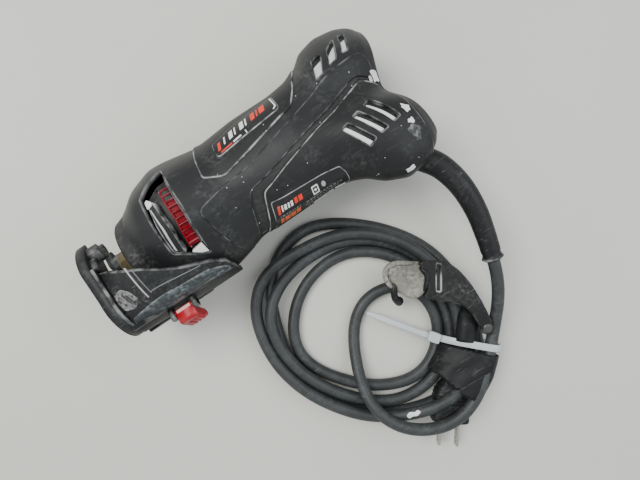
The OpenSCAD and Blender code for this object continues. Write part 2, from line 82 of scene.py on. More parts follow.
def ramp(tree, value, low, high):
    """value turned into 0 below low and 1 above high."""
    node = tree.nodes.new("ShaderNodeMapRange")
    node.inputs["From Min"].default_value = low
    node.inputs["From Max"].default_value = high
    tree.links.new(value, node.inputs["Value"])
    return node.outputs["Result"]


def math_node(tree, operation, a, b):
    node = tree.nodes.new("ShaderNodeMath")
    node.operation = operation
    node.use_clamp = operation == "ADD"
    for socket, value in zip(node.inputs, (a, b)):
        if isinstance(value, (int, float)):
            socket.default_value = value
        else:
            tree.links.new(value, socket)
    return node.outputs[0]


def mix_colour(tree, factor, a, b):
    node = tree.nodes.new("ShaderNodeMix")
    node.data_type = "RGBA"
    if isinstance(factor, float):
        node.inputs[0].default_value = factor
    else:
        tree.links.new(factor, node.inputs[0])
    for socket, value in ((node.inputs[6], a), (node.inputs[7], b)):
        if isinstance(value, tuple):
            socket.default_value = (*value, 1)
        else:
            tree.links.new(value, socket)
    return node.outputs[2]


def noise(tree, scale, detail=3.0, stretch=None, turn=0.0):
    coords = tree.nodes.new("ShaderNodeTexCoord").outputs["Object"]
    if stretch:
        mapping = tree.nodes.new("ShaderNodeMapping")
        mapping.inputs["Scale"].default_value = stretch
        mapping.inputs["Rotation"].default_value = (0, 0, turn)
        tree.links.new(coords, mapping.inputs["Vector"])
        coords = mapping.outputs["Vector"]
    node = tree.nodes.new("ShaderNodeTexNoise")
    node.inputs["Scale"].default_value = scale
    node.inputs["Detail"].default_value = detail
    tree.links.new(coords, node.inputs["Vector"])
    return node.outputs["Fac"]

FINE_SCALE = 420
COAT_ROUGHNESS = 0.15
BUMP_DEPTH = 0.0004


def material(name, colour, rough, dust=0.2, dust_colour=(0.30, 0.31, 0.30), patch=0.5, lighter=1.6,
             grain=1500, bump=0.15, wear_and_highlight_colour=(0.36, 0.37, 0.36), scratches=0.25, metallic=0.0,
             specular=0.5, coat=0.0, transmission=0.0, mottle=30):
    """Moulded, painted or metal surface: mottled colour, settled dust, fine scratches, pale
    edges where the mesh says so, which are partly real wear and partly painted highlight
    where edges catch the light, and grain in its bump."""
    made = bpy.data.materials.new(name)
    made.use_nodes = True
    tree = made.node_tree
    shader = tree.nodes["Principled BSDF"]

    def times(a, b):
        return math_node(tree, "MULTIPLY", a, b)

    def plus(a, b):
        return math_node(tree, "ADD", a, b)

    fine = noise(tree, FINE_SCALE, 6)
    light_colour = tuple(min(1, c * lighter) for c in colour)
    base = mix_colour(tree, ramp(tree, noise(tree, mottle, 4), 0.35, 0.68), colour, light_colour)
    patches = ramp(tree, noise(tree, 55, 5), patch - 0.02, patch + 0.22)
    dusty = times(times(ramp(tree, fine, 0.42, 0.74), patches), dust * 2)
    base = mix_colour(tree, dusty, base, dust_colour)
    streaks = times(ramp(tree, noise(tree, 1, 2, (60, 1700, 400), 0.5), 0.66, 0.74), scratches)
    base = mix_colour(tree, streaks, base, wear_and_highlight_colour)
    # Pale edges from the mesh's per-point amount: partly real wear, partly painted highlight on edges
    # that catch the light.
    pale_edge = tree.nodes.new("ShaderNodeAttribute")
    pale_edge.attribute_name = "wear_and_highlight"
    ragged = times(pale_edge.outputs["Fac"], plus(ramp(tree, noise(tree, 130, 5), 0.36, 0.66), 0.12))
    base = mix_colour(tree, ramp(tree, ragged, 0.10, 0.80), base, wear_and_highlight_colour)
    tree.links.new(base, shader.inputs["Base Color"])
    roughness = plus(times(plus(dusty, times(fine, 0.5)), 0.35), rough - 0.08)
    tree.links.new(roughness, shader.inputs["Roughness"])
    settings = {"Metallic": metallic, "Specular IOR Level": specular, "Coat Weight": coat,
                "Coat Roughness": COAT_ROUGHNESS, "Transmission Weight": transmission}
    for socket, value in settings.items():
        shader.inputs[socket].default_value = value
    bumps = tree.nodes.new("ShaderNodeBump")
    bumps.inputs["Strength"].default_value = bump
    bumps.inputs["Distance"].default_value = BUMP_DEPTH
    height = plus(times(noise(tree, grain, 2), 0.6), times(fine, 0.4))
    tree.links.new(height, bumps.inputs["Height"])
    tree.links.new(bumps.outputs["Normal"], shader.inputs["Normal"])
    return made


housing_mat = material('housing_plastic', (0.013, 0.0137, 0.0142), 0.42, 0.1, scratches=0.1,
    specular=0.32)
panel_mat = material('panel_rubber', (0.0105, 0.011, 0.0113), 0.46, 0.08, scratches=0.1,
    specular=0.3)
channel_mat = material('channel_plastic', (0.017, 0.018, 0.017), 0.6, 0.16, (0.15, 0.15, 0.14),
    0.42, specular=0.3)
scuff_mat = material('scuffed_plastic', (0.03, 0.027, 0.029), 0.55, 0.6, (0.2, 0.17, 0.185), 0.38,
    scratches=0.6)
scuff_pale_mat = material('scuffed_wing', (0.02, 0.021, 0.022), 0.55, 0.75, (0.19, 0.195, 0.2),
    0.33, scratches=0.5)
faint_mat = material('print_faint', (0.13, 0.13, 0.125), 0.45, 0.2, bump=0.03)
guide_mat = material('guide_plastic', (0.0125, 0.0135, 0.0138), 0.48, 0.3, (0.115, 0.12, 0.12),
    0.45, scratches=0.35, specular=0.3)
inner_mat = material('inner_plastic', (0.012, 0.012, 0.012), 0.6, 0.2)
cord_mat = material('cord_jacket', (0.0255, 0.028, 0.0285), 0.46, 0.4, (0.085, 0.098, 0.102), 0.45,
    grain=900, bump=0.25, mottle=60, specular=0.4)
guard_mat = material('guard_rubber', (0.0075, 0.008, 0.0085), 0.46, 0.1, specular=0.3)
steel_mat = material('steel', (0.42, 0.42, 0.41), 0.35, 0.2, metallic=1.0, lighter=1.2)
lamination_mat = material('lamination_steel', (0.2, 0.19, 0.18), 0.45, metallic=0.9, grain=2500)
copper_mat = material('copper_winding', (0.45, 0.17, 0.06), 0.35, metallic=0.9, coat=0.4)
nut_mat = material('nut_brass', (0.13, 0.105, 0.055), 0.42, 0.5, (0.1, 0.09, 0.06), metallic=0.8,
    lighter=1.9)
brass_mat = material('brass', (0.36, 0.26, 0.12), 0.35, metallic=1.0, lighter=1.3)
blade_mat = material('blade_nickel', (0.45, 0.43, 0.38), 0.32, 0.3, metallic=1.0, lighter=1.2)
carbon_mat = material('carbon', (0.03, 0.03, 0.03), 0.55)
# lever_red's pale pink edge colour is painted highlight on the lever's edges.
red_mat = material('lever_red', (0.34, 0.003, 0.01), 0.42, 0.05, lighter=1.25, specular=0.3,
    wear_and_highlight_colour=(0.8, 0.42, 0.42), bump=0.05)
# vent_red's pale red edge colour is painted highlight on the fin ribs' edges.
vent_red_mat = material('vent_red', (0.17, 0.0015, 0.007), 0.5, 0.05, lighter=1.4, specular=0.15,
    wear_and_highlight_colour=(0.42, 0.2, 0.21), bump=0.05)
label_mat = material('label_black', (0.008, 0.008, 0.0085), 0.34, 0.06, bump=0.03, scratches=0.08)
border_mat = material('label_border', (0.34, 0.35, 0.34), 0.45, 0.1, bump=0.03)
white_mat = material('print_white', (0.78, 0.78, 0.76), 0.4, 0.1, (0.2, 0.2, 0.2), lighter=1.1,
    bump=0.03)
print_red_mat = material('print_red', (0.72, 0.035, 0.012), 0.4, 0.1, (0.1, 0.05, 0.05),
    lighter=1.2, bump=0.03)
orange_mat = material('print_orange', (0.62, 0.1, 0.015), 0.4, 0.2, (0.05, 0.02, 0.02), lighter=1.3,
    bump=0.03)
paint_mat = material('pale_dust', (0.52, 0.53, 0.52), 0.7, 0.5, (0.16, 0.17, 0.17), lighter=1.35,
    bump=0.3)
tie_mat = material('tie_nylon', (0.6, 0.64, 0.66), 0.32, 0.15, (0.4, 0.42, 0.43), lighter=1.15,
    transmission=0.25, bump=0.05, scratches=0.1)
holder_mat = material('holder_dusty', (0.115, 0.11, 0.09), 0.6, 0.8, (0.36, 0.35, 0.31), 0.35,
    lighter=2.2, bump=0.5, grain=700)
strap_mat = material('strap_rubber', (0.006, 0.006, 0.006), 0.46, 0.12, specular=0.3)
lobe_mat = material('strap_end', (0.035, 0.036, 0.034), 0.36, 0.5)
# Pale pink for the lever's lit edge: painted highlight.
pink_mat = material('lever_edge_highlight', (0.62, 0.3, 0.28), 0.4, 0.2, lighter=1.3)
ridge_mat = material('guide_ridge', (0.022, 0.026, 0.028), 0.42, 0.6, (0.17, 0.21, 0.23), 0.36,
    scratches=0.5, specular=0.4)
worn_mat = material('guide_worn', (0.16, 0.16, 0.155), 0.5, 0.7, (0.02, 0.02, 0.02), 0.35,
    lighter=2.2, scratches=0.4, mottle=200)
dark_flecked_mat = material('guide_dark_flecked', (0.016, 0.016, 0.016), 0.4, 0.5, (0.2, 0.2, 0.19), 0.44,
    scratches=0.6, mottle=90)
wrap_mat = material('wrap_film', (0.006, 0.0065, 0.007), 0.46, 0.06, specular=0.2, grain=300,
    bump=0.3)
floor_mat = material('floor_board', (0.6, 0.595, 0.545), 0.55, 0.05, (0.5, 0.5, 0.47), lighter=1.04,
    mottle=6, scratches=0.02, bump=0.05)


# ---- Making meshes ----


def make(name, points, faces, finish, slot, body="root", wear_and_highlight=None, stands_for=()):
    """A piece from points in the row frame in mm. The pale-edge amount is 0..1 per point; it stands for
    real wear and for painted highlight.
    """
    mesh = bpy.data.meshes.new(name)
    mesh.from_pydata((np.asarray(points, float) * MM).tolist(), [], [tuple(map(int, f)) for f in faces])
    turned = bmesh.new()
    turned.from_mesh(mesh)
    bmesh.ops.recalc_face_normals(turned, faces=turned.faces)
    turned.to_mesh(mesh)
    turned.free()
    mesh.materials.append(finish)
    mesh.polygons.foreach_set("use_smooth", [True] * len(mesh.polygons))
    if wear_and_highlight is not None:
        pale_edge = mesh.attributes.new("wear_and_highlight", "FLOAT", "POINT")
        pale_edge.data.foreach_set("value", np.asarray(wear_and_highlight, np.float32))
    mesh.update()
    piece = bpy.data.objects.new(name, mesh)
    link(piece)
    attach(piece, body)
    if stands_for:
        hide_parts(*stands_for)
    return piece


def lengths(line):
    """Length along a line up to each of its points."""
    return np.concatenate([[0], np.cumsum(np.linalg.norm(np.diff(line, axis=0), axis=1))])


def on_line(line, along, at):
    return np.stack([np.interp(at, along, line[:, k]) for k in range(3)], -1)


def spline(points, step):
    """A smooth line through the points, with its own points about step apart."""
    p = np.asarray(points, float)
    p = np.vstack([2 * p[0] - p[1], p, 2 * p[-1] - p[-2]])
    out = []
    for a, b, c, d in zip(p, p[1:], p[2:], p[3:]):
        t = np.linspace(0, 1, 24, endpoint=False)[:, None]
        k1, k2 = np.sqrt(np.linalg.norm(b - a)) + 1e-6, np.sqrt(np.linalg.norm(c - b)) + 1e-6
        k3 = np.sqrt(np.linalg.norm(d - c)) + 1e-6
        m1 = (c - b) + k2 * ((b - a) / k1 - (c - a) / (k1 + k2))
        m2 = (c - b) + k2 * ((d - c) / k3 - (d - b) / (k2 + k3))
        out.append((2 * t**3 - 3 * t**2 + 1) * b + (t**3 - 2 * t**2 + t) * m1
                   + (3 * t**2 - 2 * t**3) * c + (t**3 - t**2) * m2)
    line = np.vstack(out + [p[-2:-1]])
    along = lengths(line)
    return on_line(line, along, np.linspace(0, along[-1], max(2, round(along[-1] / step) + 1)))


def rings_mesh(rings, closed=False):
    """Points and faces through rings of equal length, capped unless they close on themselves."""
    rings = [np.asarray(r, float) for r in rings]
    n, m = len(rings[0]), len(rings)
    faces = []
    for i in range(m if closed else m - 1):
        a, b = i * n, (i + 1) % m * n
        faces += [(a + k, a + (k + 1) % n, b + (k + 1) % n, b + k) for k in range(n)]
    if not closed:
        faces += [tuple(range(n))[::-1], tuple(range((m - 1) * n, m * n))]
    return np.vstack(rings), faces


def tube_rings(path, radii, sides=24, flat=1.0):
    """Circles, or ellipses with a flat share, round a path."""
    path, radii = np.asarray(path, float), np.broadcast_to(radii, len(path))
    tangent = unit(np.gradient(path, axis=0))
    turn = np.linspace(0, 2 * math.pi, sides, endpoint=False)
    rings = []
    for p, t, r in zip(path, tangent, radii):
        u = unit(np.cross([0, 0, 1], t))
        w = np.cross(t, u)
        rings.append(p + r * (np.outer(np.cos(turn), u) + np.outer(np.sin(turn), w) * flat))
    return rings


def tube(name, path, radii, finish, slot, sides, flat=1.0, wear_and_highlight=None, stands_for=()):
    """A round piece along a path; radii and the pale-edge amount (real wear and painted highlight) are
    one number, or one for each point.
    """
    points, faces = rings_mesh(tube_rings(path, radii, sides, flat))
    if wear_and_highlight is not None:
        wear_and_highlight = np.repeat(np.broadcast_to(wear_and_highlight, len(path)), sides)
    return make(name, points, faces, finish, slot, wear_and_highlight=wear_and_highlight, stands_for=stands_for)


def taper(path, shares, radii):
    """A radius for each point, from radii at shares 0..1 of the path."""
    return np.interp(np.linspace(0, 1, len(path)), shares, radii)


# ---- The lead: route, coil and the pieces on it ----

CORD_D = 8.4
COIL_C = np.array([11.0, -130.0])
# The guard and the lead as far as the coil, in metres
GUARD_ROUTE = [(0.090, -0.038, 0.042), (0.099, -0.050, 0.042), (0.106, -0.061, 0.042),
               (0.110, -0.078, 0.042), (0.110, -0.097, 0.040), (0.107, -0.115, 0.037),
               (0.103, -0.132, 0.034)]
CORD_ROUTE = [(0.103, -0.132, 0.034), (0.101, -0.1405, 0.0325), (0.098, -0.149, 0.0295),
              (0.094, -0.157, 0.026), (0.089, -0.1655, 0.022), (0.082, -0.174, 0.018)]
# First loop: down the right, over the other turns, up inside the coil and into the holder's hook
FIRST_LOOP = [(69, -188, 19), (58, -197, 20.5), (49, -205, 21.6), (38, -210.5, 21.8),
              (24, -213.5, 21.8), (10, -210.5, 21.8), (-5, -202, 21.6), (-16, -188, 21.2),
              (-20, -172, 18.5), (-18, -158, 13.5), (-12, -143, 7.5), (-5, -129, 4.4),
              (2, -120, 4.3), (10, -113, 4.3), (23, -109.5, 4.6), (35, -111, 5),
              (47, -116.5, 5), (56, -127, 4.6), (59.5, -141, 4.3), (57, -154, 4.3)]
# The turns of the coil: for each, its radius and height at each angle, degrees
TURN_AT = [-40, -65, -88, -110, -129, -149, -170, -195, -218, -231, -243, -254, -270, -286, -315, -350]
TURNS = [
    ([50.5, 51, 48, 43.5, 43, 43, 48.5, 57.5, 57.5, 57.5, 57.5, 57.3, 57.3, 57.3, 55, 53.5],
     [4.2] * 16),
    ([59, 59.5, 58, 56, 53, 53.5, 58, 67.5, 75, 74.8, 72.5, 69.5, 67, 65.7, 62.5, 60.5],
     [4.2, 4.2, 4.6, 5.5, 7, 9, 10.5, 12.6, 12.6, 12, 9, 5.5, 4.2, 4.2, 4.2, 4.2]),
    ([67.5, 67.5, 66, 63.5, 62, 61, 62.5, 66, 70, 77, 83, 86, 86.5, 79, 70, 68.5],
     [4.2] * 16),
    ([76, 76.3, 68.3, 63.5, 61.5, 60, 63, 70.5, 82, 86.2, 85, 78.5, 73.5, 71, 66, 62.5],
     [4.2, 15.5, 17.5, 13, 12.6, 12.6, 12.6, 12.4, 11, 11.5, 12.6, 12.6, 11.5, 10.7, 11.5, 12]),
]
PLUG_C, PLUG_TURN, PLUG_BACK = np.array([29.0, -203.0, 8.5]), math.radians(232), 16.0
PLUG_DIR = np.array([math.cos(PLUG_TURN), math.sin(PLUG_TURN), 0])


def polar(angle, radius, height):
    a = math.radians(angle)
    return (COIL_C[0] + radius * math.cos(a), COIL_C[1] + radius * math.sin(a), height)


def cord_guides():
    """The whole route in order, from inside the guard to inside the plug."""
    route = [(104.5, -126, 35.3)] + [tuple(np.array(p) / MM) for p in CORD_ROUTE] + FIRST_LOOP
    for radii, heights in TURNS:
        route += [polar(*p) for p in zip(TURN_AT, radii, heights)]
    route += [polar(-40, 63.3, 11.8), tuple(PLUG_C - PLUG_DIR * (PLUG_BACK + 9)),
              tuple(PLUG_C - PLUG_DIR * (PLUG_BACK - 4))]
    return route


def even(line, passes):
    """Each point moves towards its neighbours' middle; the ends stay."""
    for _ in range(passes):
        line = np.vstack([line[:1], 0.5 * line[1:-1] + 0.25 * (line[:-2] + line[2:]), line[-1:]])
    return line


SETTLE_ROUNDS = 160
# Points this many steps apart along the lead may not touch, in steps of the route
FAR_STEPS = 9


def settle(line):
    """Pushes turns that lie in each other apart, and off the floor, and evens the push out."""
    start = even(line, 14)
    moved = np.zeros_like(line)
    n = len(line)
    apart = np.abs(np.subtract.outer(np.arange(n), np.arange(n))) > FAR_STEPS
    for _ in range(SETTLE_ROUNDS):
        now = start + moved
        gap = now[:, None] - now[None]
        far = np.linalg.norm(gap, axis=2) + 1e-9
        short = np.where(apart & (far < CORD_D), (CORD_D - far) / far, 0)
        moved += (gap * short[:, :, None]).sum(1) * 0.35
        moved[1:-1] = 0.5 * moved[1:-1] + 0.25 * (moved[:-2] + moved[2:])
        moved[:12] = 0
        moved[-6:] = 0
        moved[:, 2] = np.maximum(moved[:, 2], CORD_D / 2 + 0.05 - start[:, 2])
    return even(start + moved, 4)


def make_cord():
    line = settle(spline(cord_guides(), 3.5))
    curve = bpy.data.curves.new("mains_lead", "CURVE")
    curve.dimensions = "3D"
    curve.bevel_depth = CORD_D / 2 * MM
    curve.bevel_resolution = 6
    curve.use_fill_caps = True
    run = curve.splines.new("POLY")
    run.points.add(len(line) - 1)
    run.points.foreach_set("co", np.hstack([line * MM, np.ones((len(line), 1))]).ravel())
    run.use_smooth = True
    curve.materials.append(cord_mat)
    cord = bpy.data.objects.new("mains_lead", curve)
    link(cord)
    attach(cord, "root")
    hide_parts("cord_tube", "cord_coil")
    return cord, line


GUARD_R, GUARD_TAPER = 8.8, 2.5


def make_guard():
    """Tapered strain relief with a collar where it leaves the housing and a bead at its thin end."""
    path = spline(np.array(GUARD_ROUTE) / MM, 1.6)
    share = np.linspace(0, 1, len(path))
    radii = GUARD_R - GUARD_TAPER * share
    radii += 1.0 * np.exp(-((share - 0.985) / 0.012) ** 2)
    radii -= 0.5 * np.exp(-((share - 0.955) / 0.010) ** 2)
    radii[0] -= 1.2
    radii[-1] -= 1.3
    wear_and_highlight = 0.8 * np.exp(-((share - 0.985) / 0.008) ** 2)
    return tube("strain_relief", path, radii, guard_mat, "guard", 28, wear_and_highlight=wear_and_highlight,
                stands_for=["cord_guard"])


make_camera()
lead, LEAD_LINE = make_cord()
guard = make_guard()
LEAD_PIECES = [guard]

# ---- The housing's form ----

# Place along the spindle, half width, height above and depth below the spindle, share of the
# valley, and how much wider the top is
SECTIONS = np.array([
    [-78, 29, 30, 28.2, 0, 0], [-66, 37, 40, 34, 0, 0], [-50, 41.8, 45.5, 37.5, 0, 0],
    [-40, 41, 45, 37, 0, 0], [-26, 38, 41.5, 33.5, 0, 0.03], [-14, 34.5, 38.5, 31, 0, 0.12],
    [10, 35, 37, 30, 0, 0.28], [38, 34.7, 36, 30, 0, 0.3], [52, 36.6, 36, 31.5, 0.17, 0.3],
    [62, 41.5, 36, 34, 0.33, 0.3], [70, 50, 36, 37, 0.5, 0.25], [84, 56.5, 35, 39.5, 0.75, 0.12],
    [98, 54, 31, 38.5, 0.92, 0.2], [108, 49, 26, 33, 1, 0.3], [113, 42, 20, 24, 1, 0.3]])
NOSE_X, REAR_X = -78.0, 113.0
WALL = 2.6
SEAM_Z = -4.0
VALLEY_DEPTH, VALLEY_W = 12.0, 15.0
NOTCH_DEPTH, NOTCH_W = 11.0, 22.0
SHOULDER_Z = 37.0


def smooth_table():
    x = np.arange(-95, 131, 0.5)
    kernel = np.exp(-0.5 * (np.arange(-12, 13) / 4.0) ** 2)
    kernel /= kernel.sum()
    columns = []
    for column in SECTIONS.T[1:]:
        raw = np.interp(x, SECTIONS[:, 0], column)
        columns.append(np.convolve(np.pad(raw, 12, "edge"), kernel, "valid"))
    return x, columns


TABLE_X, TABLE = smooth_table()


def section(x, a, scale=1.0):
    """Across and up, in the tool frame, on the section at x, and the section's valley share."""
    width, high, low, share, flare = (np.interp(x, TABLE_X, column) for column in TABLE)
    c, s = np.cos(np.radians(a)), np.sin(np.radians(a))
    r = (abs(c)**10 + abs(s)**10 + abs((c + s) * 0.735)**10 + abs((c - s) * 0.735)**10) ** -0.1
    z = np.where(s > 0, high, low) * r * s
    y = width * r * c * (1 + flare * z / SHOULDER_Z)
    on_top = np.minimum(1, 2 * np.maximum(s, 0) * r)
    z = z - VALLEY_DEPTH * share * np.exp(-(y / VALLEY_W) ** 2) * on_top
    return y * scale, z * scale, share


def surface(x, a, scale=1.0):
    y, z, share = section(x, a, scale)
    return np.stack([x - NOTCH_DEPTH * share * np.exp(-(y / NOTCH_W) ** 2), y, z], -1)


def skin(x, a, out=0.0):
    """Housing surface at place x and angle a (0 left, 90 top, 180 right), moved out by so much,
    in the row frame."""
    x, a, out = np.broadcast_arrays(np.asarray(x, float), np.asarray(a, float), np.asarray(out, float))
    along = surface(x + 0.2, a) - surface(x - 0.2, a)
    round_ = surface(x, a + 0.3) - surface(x, a - 0.3)
    normal = unit(np.cross(round_, along))
    return to_row((surface(x, a) + normal * out[..., None]).reshape(-1, 3))


# ---- Sheets cut to an outline and laid on the housing ----

LAY = 0.65  # mm of outline per degree round the housing


def area(loop):
    x, y = np.asarray(loop).T
    return 0.5 * np.sum(x * np.roll(y, -1) - np.roll(x, -1) * y)


def rounded(loop, radius):
    """Closed outline with its corners rounded and no edge longer than about 1.3 mm."""
    loop = np.asarray(loop, float)
    out = []
    for before, corner, after in zip(np.roll(loop, 1, 0), loop, np.roll(loop, -1, 0)):
        arms = [before - corner, after - corner]
        ends = [corner + arm * min(radius / np.linalg.norm(arm), 0.45) for arm in arms]
        for t in np.linspace(0, 1, 5):
            out.append((1 - t)**2 * ends[0] + 2 * t * (1 - t) * corner + t * t * ends[1])
    dense = []
    for a, b in zip(out, out[1:] + out[:1]):
        parts = max(1, round(np.linalg.norm(b - a) / 1.3))
        dense += [a + (b - a) * k / parts for k in range(parts)]
    return np.array(dense)


def inset(loop, distance):
    """The outline moved towards its left side by distance."""
    edges = np.roll(loop, -1, 0) - loop
    normals = unit(np.stack([-edges[:, 1], edges[:, 0]], 1))
    before = np.roll(normals, 1, 0)
    mitre = normals + before
    mitre /= np.maximum((mitre * normals).sum(1), 0.6)[:, None]
    return loop + mitre * distance


def inside(points, loop):
    x, y = points.T
    hit = np.zeros(len(points), bool)
    for (x0, y0), (x1, y1) in zip(loop, np.roll(loop, -1, 0)):
        if y0 != y1:
            hit ^= ((y0 > y) != (y1 > y)) & (x < (x1 - x0) * (y - y0) / (y1 - y0) + x0)
    return hit


def within(points, loops):
    """Inside the first loop and outside the others."""
    hit = inside(points, loops[0])
    for loop in loops[1:]:
        hit &= ~inside(points, loop)
    return hit


def nearest(points, loop):
    a, b = loop, np.roll(loop, -1, 0)
    best = np.full(len(points), 1e9)
    for p, q in zip(a, b):
        d = q - p
        t = np.clip(((points - p) @ d) / max(d @ d, 1e-9), 0, 1)
        best = np.minimum(best, np.linalg.norm(points - p - t[:, None] * d, axis=1))
    return best


def circle(centre, radius, steps, start=0.0, end=360.0):
    turn = np.radians(np.linspace(start, end, steps, endpoint=end - start < 360))
    return [(centre[0] + radius * math.cos(t), centre[1] + radius * math.sin(t)) for t in turn]


def rectangle(x0, x1, y0, y1):
    return [(x0, y0), (x1, y0), (x1, y1), (x0, y1)]


def sheet(name, outline, finish, top, bottom, rim, slot, holes=(), hole_edge=1.0,
          hole_radius=0.8, grid=1.6, place=skin, lay=LAY, **extra):
    """Closed sheet from bottom to top above the housing's skin, cut to an outline of (x, angle).
    rim gives its corners' radius, the width of its bevel, the width in which its pale edge fades
    inside that, and how pale its edge is (real wear and painted highlight)."""
    radius, bevel, fade, edge = rim
    scale = np.array([1, lay])
    loops = [(rounded(np.array(outline, float) * scale, radius), edge)]
    loops += [(rounded(np.array(hole, float) * scale, hole_radius), hole_edge) for hole in holes]
    points, wear_and_highlight, drop, constraints, rims, inner = [], [], [], [], [], []
    for number, (loop, pale_edge) in enumerate(loops):
        if (area(loop) > 0) != (number == 0):
            loop = loop[::-1]
        # The outer rings carry the pale-edge amount: real wear and painted highlight on the edge.
        for level, distance in enumerate((0, bevel, bevel + fade)):
            ring = inset(loop, distance)
            ids = list(range(len(points), len(points) + len(ring)))
            points += list(ring)
            wear_and_highlight += [pale_edge if level < 2 else 0] * len(ring)
            drop += [1 if level == 0 else 0] * len(ring)
            constraints += list(zip(ids, ids[1:] + ids[:1]))
            if level == 0:
                rims.append(ring)
        inner.append(ring)
    low, high = loops[0][0].min(0), loops[0][0].max(0)
    gx, gy = np.meshgrid(np.arange(low[0], high[0], grid), np.arange(low[1], high[1], grid))
    gx = gx + (np.arange(len(gx)) % 2)[:, None] * grid * 0.5
    cells = np.stack([gx.ravel(), gy.ravel()], 1)
    cells = cells[within(cells, inner)]
    for ring in inner:
        cells = cells[nearest(cells, ring) > grid * 0.55]
    points += list(cells)
    wear_and_highlight += [0] * len(cells)
    drop += [0] * len(cells)
    verts, _, faces, origin, _, _ = delaunay_2d_cdt(
        [tuple(map(float, p)) for p in points], constraints, [], 0, 1e-5)
    flat = np.array([tuple(v) for v in verts])
    # A point that the triangulation adds where two lines cross has no source
    source = [olds[0] if olds else -1 for olds in origin]
    wear_and_highlight = np.array([wear_and_highlight[k] if k >= 0 else 1 for k in source], float)
    drop = np.array([drop[k] if k >= 0 else 0 for k in source], float)
    keep = within(flat[np.array(faces)].mean(1), rims)
    faces = [f for f, good in zip(faces, keep) if good]
    used = sorted({k for f in faces for k in f})
    small = {old: new for new, old in enumerate(used)}
    flat, wear_and_highlight, drop = flat[used], wear_and_highlight[used], drop[used]
    n = len(used)
    tops = [tuple(small[k] for k in f) for f in faces]
    sides = {(a, b): None for f in tops for a, b in zip(f, f[1:] + f[:1])}
    walls = [(b, a, a + n, b + n) for a, b in sides if (b, a) not in sides]
    all_faces = tops + [tuple(k + n for k in f[::-1]) for f in tops] + walls
    x, angle = flat[:, 0], flat[:, 1] / lay
    above = place(x, angle, top - drop * bevel * 0.7)
    below = place(x, angle, np.full(n, float(bottom)))
    wear_and_highlight = np.concatenate([wear_and_highlight, wear_and_highlight * 0.6])
    return make(name, np.vstack([above, below]), all_faces, finish, slot, wear_and_highlight=wear_and_highlight, **extra)


def seam(xs):
    """Angle below the horizontal where the shells meet, on the left."""
    return -np.degrees(np.arctan(-SEAM_Z / np.interp(xs, TABLE_X, TABLE[2])))


SLOTS_RIGHT = [
    [(92.6, 100.0), (95.4, 119.4), (89.8, 120.8), (85.2, 103.0)],
    [(78.9, 104.8), (85.0, 122.2), (79.8, 123.6), (73.4, 106.4)],
    [(68.2, 108.6), (75.4, 125.0), (69.8, 129.0), (62.3, 112.0)]]
SLOTS_LEFT = [
    [(72, 58.2), (78.8, 57.6), (75.5, 72.8), (69.3, 74.2)],
    [(84.1, 58.4), (91.1, 49.4), (87.3, 68.8), (81.5, 71)],
    [(96.2, 47.2), (99.6, 46.2), (96.6, 66.6), (92.4, 67)]]
WINDOW = [(-40.6, 56.6), (-57.9, 73.7), (-59.7, 130.8), (-41.4, 147), (-41.2, 135),
          (-38.6, 102.6), (-39.3, 67.6)]

# Holes in the lower shell, as places along and across the tool
SCREWS = [(-67, 29), (-67, -29), (21, 26.5), (21, -26.5), (56, 28), (56, -28), (98, 36), (100, -16)]
SCREW_HOLE_R = 3.6
SLIDER = rectangle(67.5, 90, -3.4, 3.4)
LOCK_C, LOCK_HOLE_R = (-71.5, 0), 5.0


def under(outline):
    """Outline on the underside, from places across the tool to angles round it."""
    angles = np.linspace(-178, -2, 353)
    return [(x, float(np.interp(y, surface(x, angles)[:, 1], angles))) for x, y in outline]


def make_shells():
    xs = np.linspace(NOSE_X, REAR_X, 33)
    up = [(x, seam(x) + 0.3) for x in xs] + [(x, 179.7 - seam(x)) for x in xs[::-1]]
    sheet("upper_shell", up, housing_mat, 0, -WALL, (1.0, 0.5, 0.55, 0), "housing",
          holes=[WINDOW] + SLOTS_RIGHT + SLOTS_LEFT, grid=2.0, hole_edge=0.42,
          stands_for=["housing_upper"])
    down = [(x, seam(x) - 0.3) for x in xs[::-1]] + [(x, -179.7 - seam(x)) for x in xs]
    openings = [under(circle(place, SCREW_HOLE_R, 16)) for place in SCREWS]
    openings += [under(circle(LOCK_C, LOCK_HOLE_R, 16)), under(SLIDER)]
    sheet("lower_shell", down, housing_mat, 0, -WALL, (1.0, 0.5, 0.55, 0.15), "housing",
          holes=openings, grid=2.4, hole_edge=0.2, hole_radius=0.5,
          stands_for=["housing_lower"])
    # The rear end: domed outside, flat inside
    angles = np.arange(0, 360, 4)
    shrink = (0.985, 0.97, 0.94, 0.9, 0.8, 0.62, 0.4, 0.18, 0.03)
    steps = [(s, (shrink[0] - s) ** 0.5 * 2.2) for s in shrink]
    steps += [(s, -WALL) for s in (0.03, 0.18, 0.5, 0.8, 0.93)]
    rings = [to_row(surface(np.full(len(angles), REAR_X - 0.4), angles, scale) + [dome, 0, 0])
             for scale, dome in steps]
    points, faces = rings_mesh(rings, closed=True)
    make("rear_end", points, faces, housing_mat, "housing")


PANEL_TOP = 0.9
LEFT_PANEL = [(-18.5, -4), (-18.9, 40), (-19.2, 56.8), (-21.2, 90.4), (-9.9, 98), (46.3, 76.8),
              (52.8, 65), (60, 37), (62, 15), (62, -4)]
RIGHT_PANEL = [(111.5, 88.5), (104.9, 85.4), (98.3, 83.8), (20.9, 115.8), (4, 124.8), (1.7, 132),
               (-9.4, 184), (100, 184), (104.9, 150), (105.5, 119.6)]
MIDDLE_PANEL = [(111.5, 86), (106.1, 83.6), (96.5, 81.8), (-2.4, 119), (-5.7, 128.2), (-16, 184),
                (-24, 184), (-30, 150), (-33, 112), (-12, 103.5), (-2.8, 102), (6.4, 99), (52.2, 81.6),
                (71.2, 77), (78, 75), (104, 70), (110, 76)]


